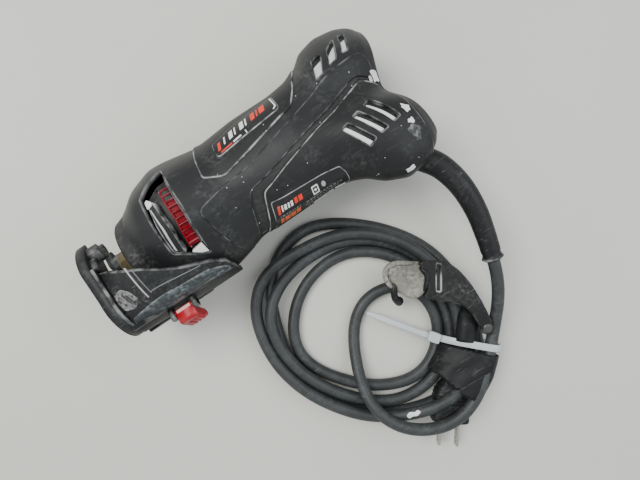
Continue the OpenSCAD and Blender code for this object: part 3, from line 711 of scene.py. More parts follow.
def make_panels():
    sheet("left_grip_panel", LEFT_PANEL, panel_mat, PANEL_TOP, -0.4, (2.2, 0.5, 0.55, 0.95),
          "housing")
    sheet("right_grip_panel", RIGHT_PANEL, panel_mat, PANEL_TOP, -0.4, (3, 0.42, 0.4, 0.8),
          "housing", holes=SLOTS_RIGHT, hole_edge=0.45)
    sheet("middle_band", MIDDLE_PANEL, housing_mat, 0.7, -0.4, (4, 0.5, 0.55, 0.3), "housing")


make_shells()
make_panels()

# ---- Vent window in the nose and the slots in the wings ----

CRISP = (0.3, 0.1, 0.1, 0)
BAR = [(-55.0, 79), (-51.2, 86.7), (-50.6, 110), (-52.6, 136), (-57.5, 133), (-59.2, 129.8),
       (-57.6, 104)]
BAR_CAP = [(-54.6, 79.5), (-52.2, 84.5), (-52.6, 87.5), (-56.4, 88), (-56.2, 81)]
BAR_GROOVE = [(-55.3, 90), (-54.6, 90), (-54.2, 110), (-56.4, 131), (-57.3, 129), (-55.4, 108)]
WINDOW_END = [(-50.0, 138.0), (-42.2, 136.6), (-41.9, 146), (-45.6, 143.6)]
WINDOW_EDGE = [(-39.0, 60), (-38.4, 102), (-41.0, 136)]
BAND_LEFT = [(-45.6, 72), (-45.1, 107.7), (-48.7, 136)]
BAND_RIGHT = [(-39.6, 72), (-39.5, 106.5), (-41.8, 134)]
RIB_STEP = 5.7


def line_at(line, shift, angles):
    """Points at these angles on a line of (x, angle), moved along the tool by shift."""
    xs, at = np.array(line).T
    return [(float(np.interp(a, at, xs)) + shift, a) for a in angles]


def make_window():
    grown = [(x + (1.6 if x > -50 else -1.6), a) for x, a in WINDOW]
    inner, red = "inner_plastic", "vent_red"
    sheet("window_floor", grown, inner_mat, -6.2, -7.4, (1, 0.5, 0.55, 1.0), inner)
    sheet("window_bar", BAR, panel_mat, -0.5, -6, (1.3, 0.55, 0.6, 0.95), "housing")
    sheet("window_bar_cap", BAR_CAP, white_mat, -0.2, -0.9, (0.9, 0.2, 0.2, 0), "plates")
    sheet("window_bar_groove", BAR_GROOVE, border_mat, -0.42, -0.8, CRISP, "plates")
    # Slope between the shell and the fins, scuffed
    angles = np.arange(60, 136.1, 4)
    slope = line_at(BAND_RIGHT, -0.4, angles) + line_at(WINDOW_EDGE, 0.9, angles[::-1])
    sheet("window_slope", slope, scuff_mat, -1.5, -6, (0.5, 0.3, 0.3, 0.2), inner)
    sheet("window_end", WINDOW_END, white_mat, -0.7, -4, (0.4, 0.2, 0.2, 0), "plates")
    # Red fins: a sunk band with ribs across it
    up, down = np.arange(78, 136.1, 4), np.arange(136, 77.9, -4)
    band = line_at(BAND_LEFT, 0, up) + line_at(BAND_RIGHT, -0.5, down)
    sheet("vent_band", band, vent_red_mat, -3.6, -5.6, (0.5, 0.2, 0.2, 0), red,
          stands_for=["vent_ring"])
    # Painted shade: a dark sheet over the top of the fins, where the shell's edge shades them.
    shade = line_at(BAND_LEFT, 0.2, (78.5, 90)) + line_at(BAND_RIGHT, -0.8, (90, 78.5))
    sheet("vent_shade", shade, inner_mat, -3.2, -4, (0.3, 0.2, 0.1, 0), inner)
    # The ribs' pale edges are painted highlight where the fin edges catch the light.
    for number, a in enumerate(np.arange(80.0, 136, RIB_STEP)):
        (left, _), (right, _) = line_at(BAND_LEFT, 0, [a]) + line_at(BAND_RIGHT, -0.3, [a])
        rib = [(left, a - 0.75), (right, a - 0.15), (right, a + 0.45), (left, a - 0.15)]
        sheet(f"vent_rib_{number}", rib, vent_red_mat, -1.6, -5.6, (0.1, 0.12, 0.05, 0.4), red)
    lip = line_at(BAND_LEFT, -0.9, up) + line_at(BAND_LEFT, 0.1, down)
    sheet("vent_lip", lip, vent_red_mat, -2.6, -5.6, (0.3, 0.2, 0.1, 0.2), red)


def make_slot_floors():
    """The slots hold louvres: a grey floor, and a pale slope along one side."""
    rim = (0.3, 0.3, 0.3, 0)
    for side, slots in (("right", SLOTS_RIGHT), ("left", SLOTS_LEFT)):
        for number, slot in enumerate(slots):
            corner = np.array(slot, float)
            a, b, c, d = corner
            middle = corner.mean(0)
            grown = middle + (corner - middle) * 1.12
            sheet(f"{side}_louvre_{number}", grown, guide_mat, -1.7, -3.2, (0.5, 0.3, 0.3, 0),
                  "inner_plastic")
            if side == "right":
                pale, finish, top = [d, c, c + (b - c) * 0.56, d + (a - d) * 0.5], white_mat, -0.7
            else:
                pale, finish, top = [a + (d - a) * 0.45, b + (c - b) * 0.35, c, d], paint_mat, -1.2
            sheet(f"{side}_louvre_slope_{number}", pale, finish, top, -2.8, rim, "plates")


# ---- Labels: plain shapes in the places of the printing ----

PRINT_UP = 0.12


def decal(name, outline, finish, top, depth=0.25, radius=0.25):
    sheet(name, outline, finish, top, top - depth, (radius, 0.08, 0.08, 0), "plates", grid=2.4)


def patch_frame(corners):
    """Maps (0..1 along, 0..1 across) into a four-cornered patch of (x, angle)."""
    a, b, c, d = (np.array(p, float) for p in corners)
    return lambda s, t: tuple((a * (1 - s) + b * s) * (1 - t) + (d * (1 - s) + c * s) * t)


def bars(name, at, rows, finish, top):
    """Printed strokes: (along from, along to, across from, across to, slant) each."""
    for number, (s0, s1, t0, t1, slant) in enumerate(rows):
        outline = [at(s0, t0), at(s1, t0), at(s1 + slant, t1), at(s0 + slant, t1)]
        decal(f"{name}_{number}", outline, finish, top)


def make_badge():
    corners = [(-7.4, 82), (39, 73.8), (38.7, 47), (-7.2, 64)]
    top = PANEL_TOP + 0.45
    up = top + PRINT_UP
    sheet("badge", corners, label_mat, top, 0.2, (2.6, 0.5, 0.25, 0.8), "plates",
          stands_for=["badge_plate"])
    at = patch_frame(corners)
    rim = [(0.93, 0.10), (0.975, 0.16), (0.975, 0.80), (0.955, 0.80), (0.955, 0.2), (0.91, 0.13)]
    decal("badge_rim", [at(*p) for p in rim], white_mat, top + 0.08)
    # Slanted strokes, white and then red, over a short red line
    starts = [0.155 + 0.088 * k for k in range(5)]
    white = [(s, s + w, 0.34, 0.72, 0.03) for s, w in zip(starts, (0.024, 0.06, 0.022, 0.062, 0.024))]
    bars("badge_white", at, white, white_mat, up)
    red = [(s0, s1, 0.34, 0.72, 0.03) for s0, s1 in ((0.60, 0.665), (0.69, 0.715), (0.74, 0.825))]
    bars("badge_red", at, red, print_red_mat, up)
    bars("badge_mark", at, [(0.05, 0.095, 0.26, 0.68, 0.03)], print_red_mat, up)
    bars("badge_line", at, [(0.07, 0.25, 0.10, 0.17, 0.0)], print_red_mat, up)
    line = [(0.27, 0.40, 0.10, 0.17, 0.0), (0.47, 0.485, 0.04, 0.2, 0.0)]
    bars("badge_line_white", at, line, white_mat, up)


RATING_OUTLINE = [(2.6, 141), (3.5, 137.6), (49.1, 142), (51.2, 151.4), (51.5, 164.2), (50.6, 175.5),
                  (-4.8, 187.5)]
RATING_PRINT = [
    ("rating_white", white_mat, [
        (0.105, 0.125, 0.13, 0.3, -0.005), (0.14, 0.175, 0.14, 0.28, -0.005),
        (0.19, 0.215, 0.14, 0.28, -0.005), (0.23, 0.262, 0.14, 0.28, -0.005)]),
    ("rating_red", print_red_mat, [
        (0.055, 0.09, 0.11, 0.34, -0.01), (0.285, 0.33, 0.12, 0.28, -0.005),
        (0.345, 0.40, 0.12, 0.28, -0.005)]),
    ("rating_orange", orange_mat, [
        (0.06, 0.10, 0.50, 0.72, 0), (0.115, 0.185, 0.50, 0.70, 0), (0.195, 0.265, 0.49, 0.69, 0),
        (0.275, 0.335, 0.48, 0.68, 0)]),
    ("rating_square", white_mat, [
        (0.535, 0.625, 0.12, 0.16, 0), (0.535, 0.625, 0.36, 0.40, 0), (0.535, 0.55, 0.12, 0.40, 0),
        (0.61, 0.625, 0.12, 0.40, 0), (0.565, 0.595, 0.22, 0.30, 0)])]
RATING_STRIP = [(0.52, 0.70, 0.80, 0.87, 0), (0.71, 0.80, 0.80, 0.86, 0), (0.82, 0.95, 0.74, 0.84, 0)]
# Rows of short strokes where small print would be: place across, start and end along
SMALL_PRINT = [(0.45, 0.42, 0.93), (0.56, 0.40, 0.88), (0.68, 0.40, 0.84), (0.40, 0.06, 0.34)]


def make_rating_label():
    top = PANEL_TOP + 0.3
    up = top + PRINT_UP
    sheet("rating_label", RATING_OUTLINE, label_mat, top, 0.2, (1.2, 0.42, 0.2, 0.75), "plates",
          stands_for=["rating_plate"])
    at = patch_frame([(3.1, 139.6), (50.1, 143.8), (50.7, 177.0), (-4.2, 187.2)])
    for name, finish, rows in RATING_PRINT:
        bars(name, at, rows, finish, up)
    round_mark = [at(0.70 + 0.028 * x, 0.24 + 0.10 * y) for x, y in circle((0, 0), 1, 12)]
    decal("rating_round", round_mark, border_mat, up)
    draw = np.random.default_rng(4)
    for row, (t, s, end) in enumerate(SMALL_PRINT):
        strokes = []
        while s < end:
            length = draw.uniform(0.012, 0.04)
            strokes.append((s, s + length, t, t + 0.045, 0))
            s += length + draw.uniform(0.01, 0.018)
        bars(f"rating_print_{row}", at, strokes, faint_mat, up)
    bars("rating_strip", at, RATING_STRIP, white_mat, up)


def make_paint():
    """Dried pale dust and paint on the rear, in ragged spots."""
    draw = np.random.default_rng(11)

    def spot(name, centre, size, finish, top, points=14):
        reach = draw.uniform(0.55, 1.05, points)
        outline = [(centre[0] + size[0] * r * x, centre[1] + size[1] * r * y)
                   for (x, y), r in zip(circle((0, 0), 1, points), reach)]
        decal(name, outline, finish, top, 0.4, 0.4)

    spot("paint_valley", (110.2, 83.0), (3.0, 5.0), white_mat, 1.0)
    spot("paint_valley_small", (106.6, 84.6), (1.3, 2.4), paint_mat, 0.95)
    spot("paint_wing", (101.6, 117.4), (2.8, 4.6), white_mat, 1.15)
    spot("paint_wing_inner", (98.4, 126.8), (2.4, 3.0), white_mat, 1.15)
    spot("paint_wing_side", (84.3, 162.4), (4.0, 4.2), white_mat, 1.15)
    spot("scuff_wing", (97.4, 135.6), (4.5, 9), scuff_pale_mat, 1.05, 20)
    for number in range(26):
        x, a = draw.uniform(-16, 95), draw.uniform(70, 165)
        size = (draw.uniform(0.25, 0.5), draw.uniform(0.4, 0.7))
        spot(f"speck_{number}", (x, a), size, paint_mat, 1.05, 7)


# Dusty floor of the groove between the middle band and the right panel
CHANNEL = [(105.8, 84.2), (96.9, 82.6), (-1.4, 119.4), (-4.4, 128.6), (-14.0, 182.6), (-10.5, 182.8),
           (0.5, 132.0), (2.9, 124.6), (20.4, 115.2), (97.6, 83.6), (105.0, 84.8)]

make_window()
make_slot_floors()
sheet("channel_floor", CHANNEL, channel_mat, 0.25, -0.4, (0.4, 0.1, 0.1, 0), "housing")
make_badge()
make_rating_label()
make_paint()

# ---- Depth guide: the shield round the nose, its foot and its lever ----

GUIDE_R, GUIDE_Z = 45.0, 4.0
FOOT_X, FOOT_T = -113.0, 6.0
LUG_C = (9.8, 19)
# Place, half height and half angle of the wrap
GUIDE_SECTIONS = np.array([
    [-107, 20, 84], [-100, 25, 79], [-93, 31, 71], [-86, 38.5, 64], [-77, 45, 56], [-69, 45, 48],
    [-61, 45, 41], [-52, 45, 35], [-43, 45, 29], [-37, 45, 21], [-35.4, 45, 10]])


def guide_point(x, a):
    """The shield's face in the tool frame; its height is evened over 8 mm."""
    places, heights, _ = GUIDE_SECTIONS.T
    high = sum(np.interp(x + d, places, heights) for d in (-4, -2, 0, 2, 4)) / 5
    c, s = np.cos(np.radians(a)), np.sin(np.radians(a))
    return np.stack([x + 0 * c, -GUIDE_R * c, GUIDE_Z + high * s], -1)


def guide_skin(x, a, out=0.0):
    """The shield's face at x and angle a (0 right side, 90 top), moved out, in the row frame."""
    x, a, out = np.broadcast_arrays(np.asarray(x, float), np.asarray(a, float), np.asarray(out, float))
    normal = unit(np.cross(guide_point(x + 0.2, a) - guide_point(x - 0.2, a),
                           guide_point(x, a + 0.3) - guide_point(x, a - 0.3)))
    return to_row(guide_point(x, a) + normal * out[..., None])


def facing_x(u, v, out):
    """Outline across the tool (y, z), standing along the spindle."""
    return to_row(np.stack([out, u, v], -1))


def facing_side(u, v, out):
    """Outline on the tool's right side (x, z), standing out from the spindle."""
    return to_row(np.stack([u, -out, v], -1))


def facing_up(u, v, out):
    """Outline on the table's plane."""
    return np.stack([u, v, out], -1)


LEVER_X, LEVER_W = -82.4, 12.0
RIDGE = [(-105, 21), (-104, 33), (-88, 31), (-66, 27), (-48, 25), (-38.5, 17), (-38, 8), (-50, 11),
         (-70, 13), (-92, 16)]
CREASE = [(-85.2, 66), (-84.2, 64.5), (-84.6, 36), (-85.6, 36)]
CREASE_INNER = [(-81.6, 60), (-80.9, 59), (-81.3, 37), (-82.0, 37)]
GUIDE_LINE = [(-82, 38), (-60, 33.5), (-50, 31.5), (-50, 32.2), (-60, 34.3), (-82, 39)]
WORN_PATCH = [(-105.5, 52), (-104.5, 61), (-98, 60), (-93, 52), (-91, 42), (-97, 38), (-104, 43)]


def make_guide():
    ride = {"body": "depth_guide", "slot": "guide"}
    on = {"place": guide_skin, "lay": GUIDE_R * math.pi / 180, **ride}
    edge = [(x, a) for x, _, a in GUIDE_SECTIONS]
    shield = [(x, -a) for x, a in edge] + edge[::-1]
    sheet("guide_shield", shield, guide_mat, 0, -2.5, (2.0, 0.5, 0.5, 0.42), grid=2.2,
          stands_for=["guide_bracket"], **on)
    # Raised rear field with a crease, and the scuffed ridge that runs to the tip
    sheet("guide_ridge", RIDGE, ridge_mat, 0.7, -0.4, (3, 0.7, 1.0, 0.35), **on)
    sheet("guide_crease", CREASE, border_mat, 0.25, -0.4, CRISP, **on)
    sheet("guide_crease_inner", CREASE_INNER, faint_mat, 0.2, -0.4, CRISP, **on)
    sheet("guide_line", GUIDE_LINE, faint_mat, 0.2, -0.4, (0.2, 0.1, 0.1, 0), **on)
    sheet("guide_worn_patch", WORN_PATCH, worn_mat, 0.35, -0.4, (1.5, 0.3, 0.3, 0.3), **on)
    sheet("guide_worn_hole", circle((-94.6, 42.5), 1.6, 14), inner_mat, 0.5, -0.2, CRISP, **on)
    for number, (x, a) in enumerate([(-99.5, 56), (-97.3, 53)]):
        slit = [(x, a), (x + 1.1, a), (x + 3.3, a - 10), (x + 2.2, a - 10)]
        sheet(f"guide_worn_slit_{number}", slit, inner_mat, 0.5, -0.2, CRISP, **on)
    for side in (-1, 1):
        z = GUIDE_Z + side * 9.8
        sheet(f"guide_runner_{side + 1}", rectangle(z - 1.4, z + 1.4, -44.4, -41.6), guide_mat,
              -59, -107, (0.5, 0.3, 0.3, 0.3), lay=1,
              place=lambda u, v, out: facing_x(v, u, out), **ride)


FOOT_RIGHT_C, FOOT_LEFT_C = (-22, GUIDE_Z), (-3, GUIDE_Z)


def make_foot():
    """Two rounds drawn together outside, open inside round the bit and to the left."""
    ride = {"body": "depth_guide", "slot": "guide", "place": facing_x, "lay": 1}
    back = FOOT_X + 3
    right = circle(FOOT_RIGHT_C, 22, 15, 90, 270)
    left_top = circle(FOOT_LEFT_C, 27, 14, 90, 36)
    left_low = circle(FOOT_LEFT_C, 27, 12, -29, -90)
    gap = circle((0, 0), 14, 21, 82, 320)
    outline = right + left_low[::-1] + [(11, -9)] + gap[::-1] + left_top[::-1]
    sheet("foot_ring", outline, guide_mat, FOOT_X + FOOT_T, FOOT_X, (2.0, 0.7, 0.5, 0.16),
          stands_for=["foot_plate"], **ride)
    rim_out = circle(FOOT_RIGHT_C, 21.6, 15, 90, 270)
    rim_in = circle(FOOT_RIGHT_C, 18.6, 15, 90, 270)
    rim = [(-3, GUIDE_Z + 26.4)] + rim_out + [(-3, GUIDE_Z - 26.4), (-3, GUIDE_Z - 23.2)]
    rim += rim_in[::-1] + [(-3, GUIDE_Z + 23.2)]
    sheet("foot_lip", rim, guide_mat, FOOT_X + FOOT_T + 1.6, back, (0.8, 0.4, 0.3, 0.55), **ride)
    # Curled lug at the open end, dark with pale flecks
    lug = circle(LUG_C, 6.4, 14, 60, 330) + circle(LUG_C, 3.2, 9, 60, 330)[::-1]
    sheet("foot_lug", lug, dark_flecked_mat, FOOT_X + 14, back, (0.8, 0.8, 0.5, 0.2), **ride)
    web = [(-4, 15), (6, 15), (5, 26), (-3, 27.5)]
    sheet("foot_lug_web", web, dark_flecked_mat, FOOT_X + 9.5, back, (1.5, 0.8, 0.5, 0.2), **ride)
    boss = circle((12, GUIDE_Z - 18), 5.6, 18)
    sheet("foot_low_boss", boss, guide_mat, FOOT_X + 14, back, (1, 0.8, 0.5, 0.5), **ride)


def make_lever():
    """Red lock lever on its pin, and the two lugs on the guide that hold the pin."""
    y, z, x0, x1 = 48.6, 8.0, LEVER_X, LEVER_X + LEVER_W
    for number, x in enumerate((x0 - 3.3, x1 + 0.3)):
        sheet(f"lever_lug_{number}", rectangle(-y - 3.2, -y + 4.4, z - 3.2, z + 3.2), guide_mat,
              x + 3, x, (2.2, 0.5, 0.4, 0.5), "guide", body="depth_guide", place=facing_x, lay=1)
    ride = {"body": "lever", "slot": "lever_red", "lay": 1}
    profile = [(-y - 7.2, z + 1.8), (-y + 2.2, z + 2.2), (-y + 2.6, z - 2.4), (-y - 0.9, z - 3.2),
               (-y - 1.2, z - 17), (-y - 3.2, z - 19), (-y - 6.2, z - 18.6), (-y - 7.2, z - 16)]
    sheet("lock_lever_paddle", profile, red_mat, x1, x0, (2.0, 1.0, 0.6, 0.25), place=facing_x,
          stands_for=["lock_lever"], **ride)
    # Pale pink strip along the lever's top edge: painted highlight.
    sheet("lock_lever_edge", rectangle(x0 + 1.2, x1 - 1.2, y - 1.4, y + 0.6), pink_mat,
          z + 2.35, z + 1.2, (0.6, 0.2, 0.2, 0),
          place=lambda u, v, out: to_row(np.stack([u, -v, out], -1)), **ride)
    for number in range(3):
        x = x0 + 2.6 + number * 3
        sheet(f"lock_lever_rib_{number}", rectangle(x, x + 1.4, z - 15.5, z - 5), red_mat,
              y + 7.7, y + 6.4, (0.5, 0.3, 0.2, 0.2), place=facing_side, **ride)


make_guide()
make_foot()
make_lever()

# ---- On the lead: plug, tie, sleeve, glossy film and the wrench holder ----


def closed_spline(points, step):
    """Round a closed section of (radius, height), without its first point again at the end."""
    p = np.array([(r, z, 0) for r, z in points], float)
    line = spline(np.vstack([p[-2:], p, p[:2]]), step)
    far = np.linalg.norm(line - p[0], axis=1)
    half = len(line) // 2
    return line[np.argmin(far[:half]):half + np.argmin(far[half:]), :2]


def coil_point(angle, section_point, lowest):
    """A place on the coil's section at an angle in radians, no lower than lowest."""
    radius, height = section_point
    return np.array([COIL_C[0] + radius * math.cos(angle), COIL_C[1] + radius * math.sin(angle),
                     max(lowest, height)])


TIE_LOOP = [(45.4, 4.5), (47.5, 10.2), (55, 16), (64, 19.2), (74, 21.6), (82.5, 23.0), (88.0, 18.6),
            (87.2, 10), (82.5, 1.6), (76, 0.7), (60, 0.7), (50, 0.7), (46.2, 1.6)]
# Corners of the band's section: out from the bundle and along it
TIE_SECTION = [(0, -2.3), (0.9, -2.5), (1.3, -2.1), (1.3, 2.1), (0.9, 2.5), (0, 2.3)]
TAIL = [(42, -157.5, 11.5), (36, -149.5, 12.6), (27, -137, 12.4), (19.5, -126.5, 11.4),
        (13.5, -118.5, 10.2)]
TAIL_SECTION = [(-1, -0.5), (1, -0.5), (1, 0.35), (0.6, 0.55), (-0.6, 0.55), (-1, 0.35)]
TIE_HEAD_C = np.array([43.4, -158.9])


def make_tie():
    loop = closed_spline(TIE_LOOP, 1.5)
    outward = unit(loop - loop.mean(0))
    a = math.radians(-42)
    side = np.array([-math.sin(a), math.cos(a), 0])
    rings = [np.array([coil_point(a, p + n * out, 0.15) + side * shift for out, shift in TIE_SECTION])
             for p, n in zip(loop, outward)]
    points, faces = rings_mesh(rings, closed=True)
    band = make("tie_band", points, faces, tie_mat, "tie", stands_for=["cable_tie"])
    tail = spline(TAIL, 2)
    rings = []
    for k, p in enumerate(tail):
        t = unit(tail[min(k + 1, len(tail) - 1)] - tail[max(k - 1, 0)])
        w = unit(np.cross([0, 0, 1], t))
        n = np.cross(t, w)
        half = 2.1 - 1.5 * max(0, (k - len(tail) * 0.82) / (len(tail) * 0.18))
        rings.append(np.array([p + w * half * s + n * h for s, h in TAIL_SECTION]))
    points, faces = rings_mesh(rings)
    strip = make("tie_tail", points, faces, tie_mat, "tie")
    turn = math.radians(-54)
    u, v = np.array([math.cos(turn), math.sin(turn)]), np.array([-math.sin(turn), math.cos(turn)])
    box = [TIE_HEAD_C + u * a * 4.2 + v * b * 3.6 for a, b in rectangle(-1, 1, -1, 1)]
    head = sheet("tie_head", box, tie_mat, 15.5, 9.5, (1.2, 0.7, 0.3, 0), "tie",
                 place=facing_up, lay=1)
    return [band, strip, head]


# Sections of the bundle at the film's two ends
FILM_NEAR = [(47.6, 4.5), (49.5, 10.5), (57, 16.5), (66, 19.8), (75, 22), (83, 23.4), (88.2, 18.5),
             (87.4, 9), (83, 0.9), (70, 0.5), (52, 0.5)]
FILM_FAR = [(48, 4.5), (50, 12), (57, 18.5), (66, 21.6), (74, 24), (82, 25.2), (88, 20), (87, 9),
            (82, 0.9), (68, 0.5), (52, 0.5)]
FILM_STEPS, FILM_SIDES = 15, 56


def make_film():
    """Black film drawn round the turns next to the tie, with a torn edge, and a glossy tube over it."""
    draw = np.random.default_rng(5)
    outer, inner = [], []
    for share in np.arange(FILM_STEPS) / (FILM_STEPS - 1):
        loop = closed_spline(np.array(FILM_NEAR) * (1 - share) + np.array(FILM_FAR) * share, 2.0)
        loop = loop[np.linspace(0, len(loop) - 1, FILM_SIDES).astype(int)]
        crease = 0.35 * np.sin(np.arange(FILM_SIDES) * 0.9 + share * 7) * np.sin(share * 3.1)
        arm = unit(loop - loop.mean(0))
        angle = -45.5 - 23.5 * share
        torn = draw.uniform(-1.6, 1.2, FILM_SIDES) * (share > 0.9)
        for rings, thick in ((outer, 0.6), (inner, -0.1)):
            ring = []
            for p, n, c, ragged in zip(loop, arm, crease, torn):
                q = p + n * (thick + c)
                a = math.radians(angle + ragged * (1 if q[0] < 80 else 0.3))
                ring.append(coil_point(a, q, 0.1))
            rings.append(np.array(ring))
    points, faces = rings_mesh(outer + inner[::-1], closed=True)
    film = make("lead_film", points, faces, wrap_mat, "wrap", stands_for=["cord_wrap"])
    angles = np.linspace(-20, -41, 13)
    heights = np.interp(angles, [-41, -30, -20], [17.2, 17.2, 13])
    path = [polar(a, 65.5 + 0.8 * math.sin(a * 0.2), z) for a, z in zip(angles, heights)]
    radii = taper(path, [0, 0.15, 0.5, 1], [4.6, 7.0, 7.8, 7.4])
    return [film, tube("lead_film_tube", path, radii, wrap_mat, "wrap", 26, 0.72)]


HEAD = [(39.5, -98.5), (46, -97.5), (54, -100.5), (64, -108), (66, -114), (62, -122), (56, -126),
        (49, -127.5), (43, -124), (40, -118), (38.2, -108)]
LIP = [(37.5, -112, 25.5), (37.2, -104, 26.8), (40.5, -98.6, 27), (47, -98, 27.3),
       (53, -101.5, 27.3), (58.5, -105.5, 27)]
FOLD = [(60.5, -110, 27.2), (62, -116, 27.6), (59, -121.5, 27.3), (54, -125, 26.6)]
HOOK = [(41, -110, 24), (37.5, -113.5, 25), (35.6, -118, 23.5), (36, -122, 18), (37.5, -124.5, 12.5)]
STRAP = [(61, -106), (70, -110.5), (78, -117), (81.5, -126), (83, -138), (82.5, -152), (81.5, -163),
         (80.5, -172), (77, -176.5), (73, -174.5), (71.8, -166), (72.5, -157), (70.5, -148),
         (64, -141), (56, -134.5), (52, -128.5), (57, -125), (62, -118)]
STRAP_SLOT = [(71.2, -114.6), (73.0, -116.0), (63.0, -130.8), (61.2, -129.4)]


def strap_place(u, v, out):
    """The strap drops towards its far end, and is a little crowned."""
    drop = 4.5 * np.clip((-v - 150) / 28, 0, 1) ** 1.5 + 1.6 * np.clip((60 - u) / 8, 0, 1)
    return np.stack([u, v, out - drop], -1)


def make_holder():
    """Rubber wrench holder: a dusty head with a hook that takes a turn of the lead, and a strap."""
    head = sheet("holder_head", HEAD, holder_mat, 27, 15.5, (3.5, 2.4, 1.0, 0), "holder",
                 place=facing_up, lay=1, stands_for=["wrench_holder"])
    lip, fold, hook = spline(LIP, 1.6), spline(FOLD, 1.6), spline(HOOK, 1.2)
    lip = tube("holder_lip", lip, taper(lip, [0, 0.1, 0.9, 1], [0.8, 1.7, 1.7, 0.8]), holder_mat,
               "holder", 14, wear_and_highlight=0.25)
    fold = tube("holder_fold", fold, taper(fold, [0, 0.2, 0.8, 1], [0.7, 2.2, 2.0, 0.7]), strap_mat,
                "holder", 14)
    radii = taper(hook, [0, 0.3, 0.8, 0.93, 1], [2.6, 2.3, 2.9, 3.6, 1.6])
    hook = tube("holder_hook", hook, radii, strap_mat, "holder", 18, wear_and_highlight=0.12)
    on = {"slot": "holder", "place": strap_place, "lay": 1}
    strap = sheet("holder_strap", STRAP, strap_mat, 29, 26.2, (3, 0.7, 0.6, 0.18),
                  holes=[STRAP_SLOT], hole_edge=0.9, **on)
    floor = sheet("holder_slot_floor", STRAP_SLOT, inner_mat, 27.0, 26.3, (0.5, 0.1, 0.1, 0), **on)
    lobe = sheet("holder_lobe", circle((76, -170.5), 4.6, 16), lobe_mat, 29.9, 26,
                 (1, 2.6, 0.5, 0), **on)
    return [head, lip, fold, hook, strap, floor, lobe]


# The plug's sections from the lead's end: place along it, half width and half height
PLUG_SECTIONS = np.array([
    (-16, 5.4, 5.2), (-14.5, 6.2, 5.9), (-12, 7.2, 6.6), (-9, 9.8, 7.4), (-5, 12.0, 8.0),
    (-1, 12.6, 8.2), (3, 12.3, 8.1), (8, 12.9, 8.35), (12, 13.3, 8.4), (15, 13.2, 8.4),
    (15.8, 12.4, 7.8), (16, 11.4, 7.0)])


def make_plug():
    """Moulded two-blade plug, narrow where the lead goes in, with a ribbed waist."""
    side = np.array([-PLUG_DIR[1], PLUG_DIR[0], 0])
    turn = np.linspace(0, 2 * math.pi, 40, endpoint=False)
    c, s = np.cos(turn), np.sin(turn)
    r = (abs(c)**4.5 + abs(s)**4.5) ** (-1 / 4.5)
    rings = []
    for number, t in enumerate(np.linspace(-16, 16, 49)):
        w, h = (np.interp(t, PLUG_SECTIONS[:, 0], PLUG_SECTIONS[:, k]) for k in (1, 2))
        groove = 0.45 if -10 < t < 4 and number % 4 in (0, 1) else 0
        ring = np.outer(r * c * (w - groove), side) + np.outer(r * s * (h - groove * 0.5), [0, 0, 1])
        rings.append(PLUG_C + PLUG_DIR * t + ring)
    points, faces = rings_mesh(rings)
    return make("plug", points, faces, guard_mat, "guard", stands_for=["plug_body"])


SPOT = [(-5, -20), (-2, 10), (1, 5), (4, 22), (5.5, -8), (3, -38), (-1, -28), (-3, -45)]


def make_cord_paint():
    """A spot of dried paint on the last turn of the lead."""
    early = np.arange(len(LEAD_LINE)) < len(LEAD_LINE) * 0.8
    at = np.argmin(np.linalg.norm(LEAD_LINE - polar(-99, 66, 12.5), axis=1) + 50 * early)
    near = LEAD_LINE[at - 6:at + 7]
    along = lengths(near)
    along -= along[6]

    def on_cord(u, v, out):
        """Place u along the lead from the spot's middle, and v degrees round it from its top."""
        p = on_line(near, along, u)
        t = unit(on_line(near, along, u + 0.5) - p)
        w = unit(np.cross([0, 0, 1], t))
        turn = np.radians(v)[..., None]
        return p + (np.cross(t, w) * np.cos(turn) + w * np.sin(turn)) * (CORD_D / 2 + out)[..., None]

    return sheet("paint_on_lead", SPOT, white_mat, 0.3, -0.5, (0.8, 0.1, 0.1, 0), "lead",
                 grid=1.5, place=on_cord, lay=0.073)


LEAD_PIECES += make_tie() + make_film() + make_holder()
LEAD_PIECES += [make_plug(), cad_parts["plug_blades"], make_cord_paint()]

# ---- CAD nodes that stay as they are, floor and light ----

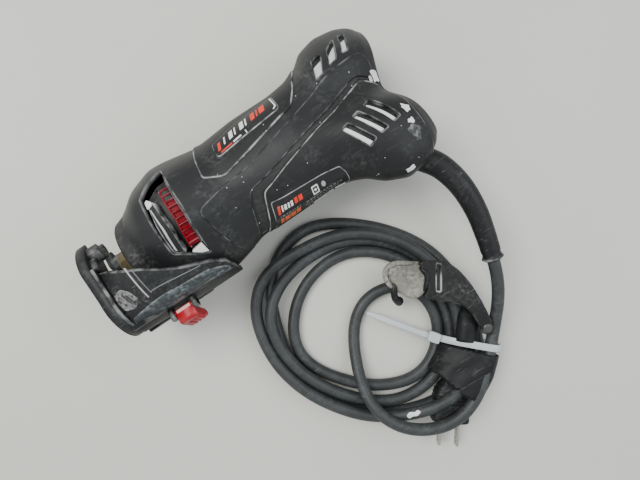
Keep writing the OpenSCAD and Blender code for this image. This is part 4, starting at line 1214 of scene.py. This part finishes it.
CAD_FINISH = [
    (housing_mat, "housing_upper housing_lower"),
    (inner_mat, "nose_collar guide_rail motor_plate switch_body cord_clamp cooling_fan spindle_lock"),
    (vent_red_mat, "vent_ring"),
    (label_mat, "badge_plate rating_plate"),
    (lamination_mat, "field_stack armature_stack"),
    (copper_mat, "field_coils armature_winding commutator"),
    (steel_mat, "spindle front_bearing rear_bearing brush_springs clamp_screws housing_screws"),
    (steel_mat, "foot_screws lever_pin collet"),
    (nut_mat, "collet_nut"),
    (brass_mat, "brush_holders"),
    (carbon_mat, "carbon_brushes"),
    (orange_mat, "capacitor"),
    (red_mat, "switch_slider lock_lever"),
    (guide_mat, "guide_bracket foot_plate"),
    (guard_mat, "bearing_bush plug_body cord_guard"),
    (wrap_mat, "cord_wrap"),
    (tie_mat, "cable_tie"),
    (holder_mat, "wrench_holder"),
    (blade_mat, "plug_blades"),
    (cord_mat, "cord_tube cord_coil"),
]
for finish, nodes in CAD_FINISH:
    for node in nodes.split():
        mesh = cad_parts[node].data
        mesh.materials.clear()
        mesh.materials.append(finish)


FLOOR_HALF = 3.0


def make_floor():
    mesh = bpy.data.meshes.new("floor")
    corners = [(x, y, 0) for x, y in rectangle(-FLOOR_HALF, FLOOR_HALF, -FLOOR_HALF, FLOOR_HALF)]
    mesh.from_pydata(corners, [], [(0, 1, 2, 3)])
    mesh.materials.append(floor_mat)
    floor = bpy.data.objects.new("floor", mesh)
    link(floor)


def make_light(name, place, aim, size, power, colour):
    data = bpy.data.lights.new(name, "AREA")
    data.shape, data.size, data.energy, data.color = "DISK", size, power, colour
    light = bpy.data.objects.new(name, data)
    light.location = place
    direction = np.array(aim, float) - np.array(place, float)
    yaw = math.atan2(direction[1], direction[0])
    pitch = math.atan2(direction[2], math.hypot(direction[0], direction[1]))
    light.rotation_euler = (math.pi / 2 + pitch, 0, yaw - math.pi / 2)
    link(light)


make_floor()
world = bpy.data.worlds.new("soft_room")
world.use_nodes = True
world.node_tree.nodes["Background"].inputs["Color"].default_value = (0.93, 0.97, 1.0, 1)
world.node_tree.nodes["Background"].inputs["Strength"].default_value = 0.74
bpy.context.scene.world = world
make_light("key", (-0.35, 0.55, 1.3), (0, -0.05, 0), 0.9, 18.5, (1.0, 0.985, 0.96))
make_light("fill", (0.8, -0.4, 1.0), (0, -0.05, 0), 1.0, 6.7, (0.92, 0.96, 1.0))
